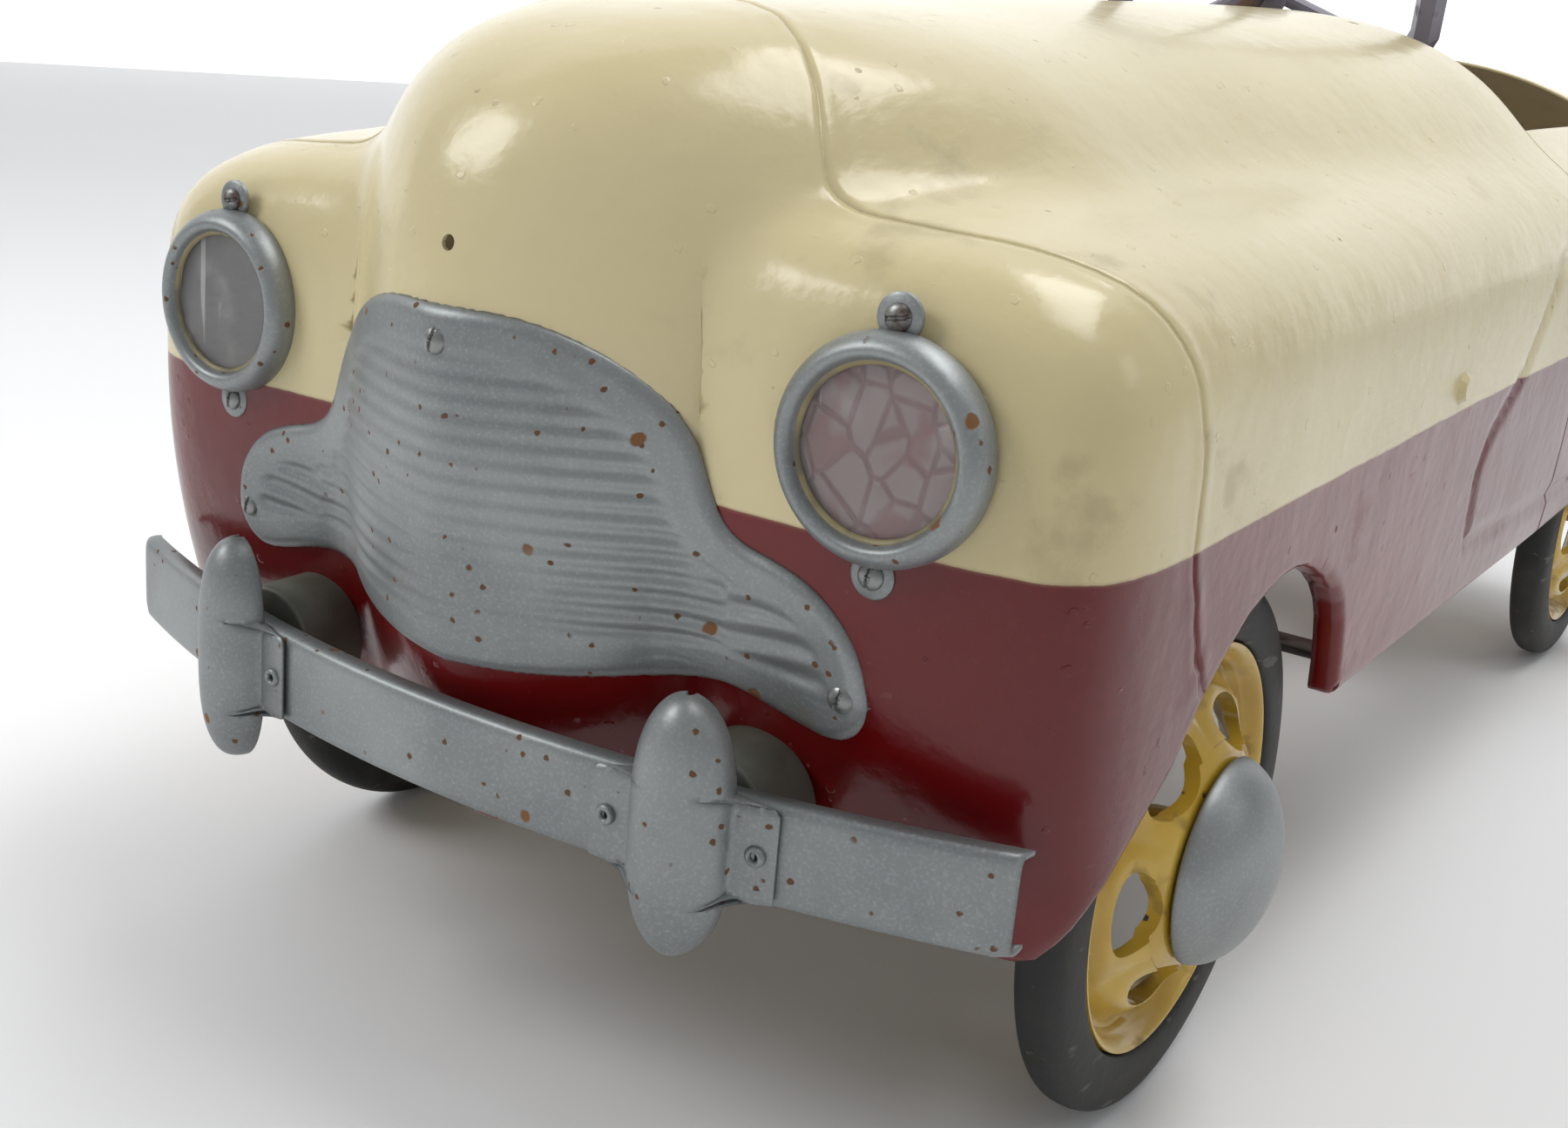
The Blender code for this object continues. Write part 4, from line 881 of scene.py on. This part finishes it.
# %% Headlamps
LIGHT_X, LIGHT_Z, LUG = 140.8 * MM, 264 * MM, 37.9 * MM
BEZEL = [
    (0, 34.4), (5, 34.6), (9.5, 33), (11.8, 30), (11.2, 27.6), (8.6, 26.4), (7.6, 25.9), (7.4, 28.6),
    (9, 30.4), (6, 32.2), (0, 32.8),
]
TAB = [(0, 7.2), (1.6, 7.2), (2.2, 6.4), (2.2, 0)]
LIP = [(8.7, 26.6), (8.3, 25.6), (7.4, 24.9), (6.9, 25.2), (6.9, 27.0), (7.9, 27.2)]
for name, side in SIDES:
    x, face = side * LIGHT_X, front_y(LIGHT_X, LIGHT_Z) - 0.2 * MM
    bm = bmesh.new()
    turned(bm, rounded(BEZEL), (0, -1, 0))
    for end in (1, -1):
        lug = bmesh.new()
        turned(lug, TAB, (0, -1, 0), 40, closed=False)
        place(lug, (0, 0, end * LUG))
        mesh = as_mesh("lug", lug)
        bm.from_mesh(mesh)
        bpy.data.meshes.remove(mesh)
    place(bm, (x, face, LIGHT_Z))
    dress(f"bezel_{name}", bm, SILVER, "car_body", "silver_paint", f"headlight_bezel_{name}")
    bm = bmesh.new()
    turned(bm, rounded(LIP, 1), (0, -1, 0))
    place(bm, (x, face, LIGHT_Z))
    dress(f"lip_{name}", bm, LIP_YELLOW, "car_body", "silver_paint")
    bm = bmesh.new()
    rod(bm, (x, face - 7.1 * MM, LIGHT_Z), (x, face - 5.9 * MM, LIGHT_Z), 26.4 * MM, 96)
    dress(f"lens_{name}", bm, LENS, "car_body", "clear_lens", f"headlight_lens_{name}", smooth=30)
    # The backing behind each lens; on the right it carries the painted reflection.
    bm = bmesh.new()
    rod(bm, (x, face - 5.2 * MM, LIGHT_Z), (x, face - 3.8 * MM, LIGHT_Z), 27 * MM, 96)
    dress(f"backing_{name}", bm, LAMP[name], "car_body", "red_paint", f"headlight_backing_{name}", smooth=30)
    for end, label, slot_turn in ((1, "upper", 1.4), (-1, "lower", 0.2)):
        node = f"headlight_screw_{label}_{name}"
        screw(f"screw_{label}_{name}", x, LIGHT_Z + end * LUG, face - 2.3 * MM, 4.3, node, slot_turn)
print("two headlamps stand at x", round(LIGHT_X, 4))

# %% [markdown]
# The bumper is a bowed channel of sheet with rolled edges. Each overrider is a bullet pressed from the same
# sheet as the two straps beside it, which lap over the bar. A soft maximum of two heights makes the fillet.

# %% Bumper and overriders
BUMPER_HALF, BUMPER_LOW, BUMPER_HIGH = 197.5 * MM, 122.5 * MM, 157.4 * MM
BUMPER_NOSE, BUMPER_BOW, BUMPER_MIDDLE = 197 * MM, 39 * MM, 140 * MM
OVERRIDER_X, OVERRIDER_MIDDLE, OVERRIDER_HALF = 101.5 * MM, 143.5 * MM, 43 * MM
BULLET_HALF, BULLET_DEPTH = 17 * MM, 15.5
STRAP_HALF, STRAP_DEPTH, STRAP_LIP = 31 * MM, 1.6, 1.8
FILLET = 4.5
RIVET_ALONG = 24.5 * MM
RIVET = [(-0.6, 1.2), (1.1, 1.3), (1.9, 2.1), (1.5, 3.2), (0.2, 3.5), (-0.6, 3.4)]


def bumper_y(x):
    return FRONT_AXLE_Y - BUMPER_NOSE + BUMPER_BOW * (x / BUMPER_HALF) ** 2


section = [(8.2, 123.6), (4.2, 122.9), (1.4, 123.4), (0.2, 126), (0, 131), (0, 140), (0, 149), (0.2, 154)]
section += [(1.4, 156.5), (4.2, 157.0), (8.2, 156.4)]
section = rounded(section, 2, closed=False)


def bar_place(u, v):
    x = between(-BUMPER_HALF, BUMPER_HALF, u)
    back, z = section[round(v * (len(section) - 1))]
    end = smooth_step(abs(x), BUMPER_HALF - 5 * MM, BUMPER_HALF)
    z = between(z, BUMPER_MIDDLE / MM, end * 0.04)
    return Vector((x, bumper_y(x) + back * MM + 1.2 * MM * end, z * MM))


bm = bmesh.new()
grid(bm, 180, len(section) - 1, bar_place)
made = dress("bumper_skin", bm, SILVER, "car_body", "silver_paint", "bumper_bar")
thicken(made, 1.5 * MM)


def bullet_width(z):
    share = abs((z - OVERRIDER_MIDDLE) / OVERRIDER_HALF)
    return BULLET_HALF * math.sqrt(max(0.0, 1 - min(1, share) ** 3.0))


def overrider_place(centre, turn):
    """The function that lays a grid over a bullet and its straps, turned to follow the bowed bar."""
    reach_z = OVERRIDER_HALF - 0.1 * MM
    rows = [OVERRIDER_MIDDLE + reach_z * math.sin(math.pi * (i / 64 - 0.5)) for i in range(65)]

    def put(u, v):
        z = rows[round(v * 64)]
        width = bullet_width(z)
        strap = smooth_step(z, BUMPER_LOW - 0.5 * MM, BUMPER_LOW + 2 * MM)
        strap *= 1 - smooth_step(z, BUMPER_HIGH - 2 * MM, BUMPER_HIGH + 0.5 * MM)
        reach = max(width, between(width, STRAP_HALF, strap), 0.4 * MM)
        across = math.sin(math.pi * (u - 0.5)) * reach
        round_part = math.sqrt(max(0, 1 - (across / max(width, 0.5 * MM)) ** 2))
        bullet = BULLET_DEPTH * round_part * (width / BULLET_HALF) ** 0.7
        flat = STRAP_DEPTH * strap
        share = max(0, FILLET - abs(bullet - flat)) / FILLET
        height = max(bullet, flat) + share**3 * FILLET / 6 * strap
        if bullet < flat:
            height -= STRAP_LIP * smooth_step(abs(z - BUMPER_MIDDLE), 14.5 * MM, 17.8 * MM) * strap
        off = -height * MM - 0.4 * MM
        bow = bumper_y(centre + across) - bumper_y(centre) - math.tan(turn) * across
        x = centre + across * math.cos(turn) - off * math.sin(turn)
        y = bumper_y(centre) + across * math.sin(turn) + off * math.cos(turn) + bow
        return Vector((x, y, z))

    return put


for name, side in SIDES:
    centre = side * OVERRIDER_X
    turn = math.atan(2 * BUMPER_BOW * centre / BUMPER_HALF**2)
    bm = bmesh.new()
    grid(bm, 96, 64, overrider_place(centre, turn))
    node = f"overrider_{name}"
    made = dress(f"overrider_skin_{name}", bm, SILVER, "car_body", "silver_paint", node, smooth=75)
    thicken(made, 1.2 * MM)
    bm = bmesh.new()
    start = (centre, bumper_y(centre) + 12.5 * MM, BUMPER_MIDDLE)
    end = (centre, front_y(OVERRIDER_X, BUMPER_MIDDLE) - 6 * MM, BUMPER_MIDDLE)
    rod(bm, start, end, 23 * MM, 64)
    ends = [edge for edge in bm.edges if abs(edge.verts[0].co.y - edge.verts[1].co.y) < MM]
    bmesh.ops.bevel(bm, geom=ends, offset=1.6 * MM, segments=3, profile=0.5, affect="EDGES", material=-1)
    dress(f"spacer_{name}", bm, SPACER, "car_body", "silver_paint", f"bumper_spacer_{name}")
    for label, along in (("inner", -RIVET_ALONG), ("outer", RIVET_ALONG)):
        x = centre + along
        y = bumper_y(x)
        bm = bmesh.new()
        turned(bm, rounded(RIVET, 1), (0, -1, 0), 32)
        place(bm, (x, y - 2.1 * MM, BUMPER_MIDDLE))
        dress(f"rivet_{name}_{label}", bm, SILVER, "car_body", "silver_paint")
        # A near-black disc fills the rivet's hollow: painted shade for the shadow in the hole.
        bm = bmesh.new()
        rod(bm, (x, y - 2.3 * MM, BUMPER_MIDDLE), (x, y - 1.9 * MM, BUMPER_MIDDLE), 1.5 * MM, 24)
        dress(f"rivet_hole_{name}_{label}", bm, HOLE_SHADE, "car_body", "dull_steel")
print("bumper is", round(2 * BUMPER_HALF, 3), "m wide")

# %% [markdown]
# The four wheels are alike, so one is made and the other three are copies. Six long holes are cut through
# the yellow disc, and the sheet round each is raised, leaving a deep channel inside the rim.

# %% Wheels
HOLES, HOLE_TURN = 6, 0.37  # the turn is a share of the angle from one hole to the next
HOLE_RING, HOLE_ALONG, HOLE_ACROSS = 49 * MM, 17 * MM, 9.5 * MM
RAISED = 7 * MM  # how far the raised sheet reaches from a hole
# Outlines as (distance out from the wheel's middle, radius), in millimetres
DISC = [
    (19.5, 6.3), (19.5, 20), (19.4, 32), (19.0, 38), (16.6, 41.5), (12.5, 46), (9, 51), (7.2, 56),
    (6.0, 60), (2.2, 63), (-0.6, 66), (-0.2, 69), (2.5, 71.6), (5.5, 73.0), (7.4, 74.2), (8.4, 75.6),
    (8.2, 76.9), (-8.2, 76.9), (-8.2, 74), (-4, 70), (-4.4, 66), (-2.0, 60), (2.6, 53), (9, 43),
    (15.6, 37), (16, 26), (15.6, 13.4), (-8.8, 13), (-9, 6.3),
]
TREAD = [
    (8.0, 77.3), (9.6, 79.5), (10, 84), (9.8, 90), (8.8, 95.2), (6.2, 98.6), (2.5, 99.8),
    (-2.5, 99.8), (-6.2, 98.6), (-8.8, 95.2), (-9.8, 90), (-10, 84), (-9.6, 79.5), (-8.0, 77.3),
    (0, 77.2),
]
CAP = [
    (20.2, 37.0), (20.4, 38.4), (21.6, 38.4), (24.0, 37.6), (29, 34.4), (34, 28.0), (38.2, 19.0),
    (40.4, 9.0), (40.9, 0.0),
]


def wheel_disc():
    """The disc at the origin: its sheet rises round each hole and sinks between them."""
    bm = bmesh.new()
    turned(bm, rounded(DISC), (1, 0, 0), 144)
    for vertex in bm.verts:
        radius = math.hypot(vertex.co.y, vertex.co.z)
        turn = math.atan2(vertex.co.y, vertex.co.z) / math.tau * HOLES - HOLE_TURN
        around = (turn - round(turn)) * math.tau / HOLES * radius
        away = math.hypot(around / (HOLE_ALONG + RAISED), (radius - HOLE_RING) / (HOLE_ACROSS + RAISED))
        if 44 * MM < radius < 70 * MM and vertex.co.x > -5 * MM:
            lift = 1.7 * smooth_step(1.25 - away, 0, 0.35)
            lift -= 2.2 * smooth_step(away, 1.05, 1.5) * smooth_step(radius, 50 * MM, 58 * MM)
            vertex.co.x += lift * MM
    disc = dress("disc_master", bm, YELLOW, "wheel_front_left", "yellow_paint")

    def ovals(cutters):
        for i in range(HOLES):
            verts = rod(cutters, (-30 * MM, 0, 0), (30 * MM, 0, 0), HOLE_ACROSS, 40)
            bmesh.ops.scale(cutters, verts=verts, vec=(1, HOLE_ALONG / HOLE_ACROSS, 1))
            bmesh.ops.translate(cutters, verts=verts, vec=(0, 0, HOLE_RING))
            turn = Matrix.Rotation(-math.tau * (i + HOLE_TURN) / HOLES, 3, "X")
            bmesh.ops.rotate(cutters, verts=verts, matrix=turn)

    cut_holes(disc, ovals)
    mesh = disc.data.copy()
    bpy.data.objects.remove(disc)
    return mesh


def turned_mesh(name, outline, sides, closed=True):
    bm = bmesh.new()
    turned(bm, outline, (1, 0, 0), sides, closed)
    return as_mesh(name, bm)


DISC_MESH = wheel_disc()
TYRE_MESH = turned_mesh("tyre_master", rounded(TREAD), 144)
CAP_MESH = turned_mesh("cap_master", rounded(CAP, closed=False), 96, closed=False)
WHEEL_PIECES = (
    ("disc", DISC_MESH, YELLOW, "wheel_disc", "yellow_paint"),
    ("tyre", TYRE_MESH, RUBBER, "tyre", "black_rubber"),
    ("cap", CAP_MESH, SILVER_CLEAN, "hubcap", "silver_paint"),
)
WHEEL_BODIES = {
    "front_left": "wheel_front_left", "front_right": "wheel_front_right",
    "rear_left": "wheel_rear_left", "rear_right": "crank_axle",
}
for where, body in WHEEL_BODIES.items():
    side = 1 if where.endswith("left") else -1
    centre = (side * TYRE_X, FRONT_AXLE_Y if where.startswith("front") else REAR_AXLE_Y, WHEEL_RADIUS)
    for kind, master, paint, node, slot in WHEEL_PIECES:
        bm = bmesh.new()
        bm.from_mesh(master)
        if side < 0:
            bmesh.ops.rotate(bm, verts=bm.verts, matrix=Matrix.Rotation(math.pi, 3, "Z"))
        place(bm, centre)
        made = dress(f"{kind}_{where}", bm, paint, body, slot, f"{node}_{where}")
        if kind == "cap":
            thicken(made, 1.2 * MM)
print("four wheels have", len(DISC_MESH.polygons), "faces in each disc")

# %% [markdown]
# Plain parts such as the seat, the rails and the pedal blocks only need their edges softened. A copy of each
# frame mesh is welded and its sharp edges are bevelled. What is left of the frame takes better materials.

# %% Softened copies, and new materials for the rest
def soften(node, body, paint, slot, width):
    """A copy of a frame node with its sharp edges bevelled."""
    bm = bmesh.new()
    bm.from_mesh(frame["nodes"][node].data)
    bmesh.ops.remove_doubles(bm, verts=bm.verts, dist=0.01 * MM)
    bmesh.ops.dissolve_limit(
        bm, angle_limit=math.radians(1), verts=bm.verts, edges=bm.edges, use_dissolve_boundaries=False,
        delimit={"NORMAL"},
    )
    sharp = [edge for edge in bm.edges if edge.is_manifold and edge.calc_face_angle(0) > math.radians(35)]
    bmesh.ops.bevel(
        bm, geom=sharp, offset=width, segments=2, profile=0.5, affect="EDGES", clamp_overlap=True, material=-1
    )
    return dress(f"{node}_soft", bm, paint, body, slot, node)


bodies = {node: body for body, members in frame["record"]["behaviour"]["bodies"].items() for node in members}
for node, paint, slot, width in (
    ("seat", SEAT_RED, "red_paint", 1.5),
    ("pedal_pad_left", RUBBER, "black_rubber", 1.5),
    ("pedal_pad_right", RUBBER, "black_rubber", 1.5),
    ("chassis_rail_left", STEEL, "dull_steel", 0.8),
    ("chassis_rail_right", STEEL, "dull_steel", 0.8),
    ("front_axle_beam", STEEL, "dull_steel", 0.8),
    ("body_stay", STEEL, "dull_steel", 0.4),
):
    soften(node, bodies[node], paint, slot, width * MM)

PAINTS = {
    "steering_wheel": WHEEL_GREY, "steering_wheel_cap": SEAT_RED,
    "dash_panel": BODY_PAINT, "pedal_pivot_rod": BODY_PAINT,
}
for node, made in frame["nodes"].items():
    if not made.hide_render or node in PAINTS:
        made.data.materials.clear()
        made.data.materials.append(PAINTS.get(node, STEEL))
print("repainted what is left of the frame")

# %% [markdown]
# Soft windows light the studio: a broad key ahead of the car and high on its right, a panel overhead that
# draws the long reflections on the bonnet, and weak fill from the left. A wall that glows a little stands
# behind. The camera stands near the car, a little above it.

# %% Light, floor and camera
def area(name, location, aim, size, power):
    light = bpy.data.lights.new(name, "AREA")
    light.shape = "RECTANGLE"
    light.size, light.size_y = size
    light.energy = power
    made = bpy.data.objects.new(name, light)
    made.location = location
    made.rotation_euler = (Vector(aim) - Vector(location)).to_track_quat("-Z", "Y").to_euler()
    bpy.context.scene.collection.objects.link(made)


area("key_window", (-1.5, -1.8, 1.8), (0, -0.2, 0.25), (1.0, 1.0), 24)
area("roof_panel", (0.5, 0.3, 2.2), (0, 0, 0.3), (1.7, 0.8), 24)
area("left_fill", (2.4, 0.6, 1.6), (0, 0, 0.2), (0.7, 0.9), 3)
world = bpy.data.worlds.new("studio")
world.use_nodes = True
world.node_tree.nodes["Background"].inputs["Color"].default_value = (0.95, 0.97, 1, 1)
world.node_tree.nodes["Background"].inputs["Strength"].default_value = 0.40
bpy.context.scene.world = world

def stage(name, half_size, paint, turns=(), where=(0, 0, 0)):
    """A big square that isn't part of the car: laid flat, then turned about each axis given and moved."""
    bm = bmesh.new()
    bmesh.ops.create_grid(bm, x_segments=1, y_segments=1, size=half_size)
    for degrees, axis in turns:
        bmesh.ops.rotate(bm, verts=bm.verts, matrix=Matrix.Rotation(math.radians(degrees), 3, axis))
    place(bm, where)
    made = bpy.data.objects.new(name, as_mesh(name, bm))
    made.data.materials.append(paint)
    bpy.context.scene.collection.objects.link(made)


CAMERA_AZIMUTH = 38.88
ground = Finish("floor_paint", roughness=0.9)
tone = ground.mix(ground.noise(1.5, 3), (0.90, 0.90, 0.90), (0.93, 0.93, 0.93))
stage("floor", 60, ground.finish(tone))
pale = Finish("backdrop_paint", roughness=1.0, Emission_Strength=0.75, Emission_Color=(1, 1, 1, 1))
tone = pale.mix(pale.noise(0.5, 2), (0.88, 0.88, 0.88), (0.91, 0.91, 0.91))
stage("backdrop", 9, pale.finish(tone), ((90, "X"), (CAMERA_AZIMUTH, "Z")), (-3.5, 4.3, 4))

camera_data = bpy.data.cameras.new("camera")
camera = bpy.data.objects.new("camera", camera_data)
bpy.context.scene.collection.objects.link(camera)
azimuth, elevation, roll = math.radians(CAMERA_AZIMUTH), math.radians(16.557), math.radians(3.107)
flat = math.cos(elevation)
back = Vector((math.sin(azimuth) * flat, -math.cos(azimuth) * flat, math.sin(elevation)))
look = (-back).to_track_quat("-Z", "Y").to_matrix() @ Matrix.Rotation(roll, 3, "Z")
camera.matrix_world = Matrix.Translation((0.3820, -0.9026, 0.3876)) @ look.to_4x4()
camera_data.lens, camera_data.sensor_width = 41.27, 36
camera_data.shift_x, camera_data.shift_y = 0.1389, -0.0331
camera_data.clip_start = 0.01
bpy.context.scene.camera = camera
bpy.context.scene.view_settings.view_transform = "Standard"
print("three lights, a floor, a backdrop and a camera", round(camera.matrix_world.translation.z, 2), "m up")
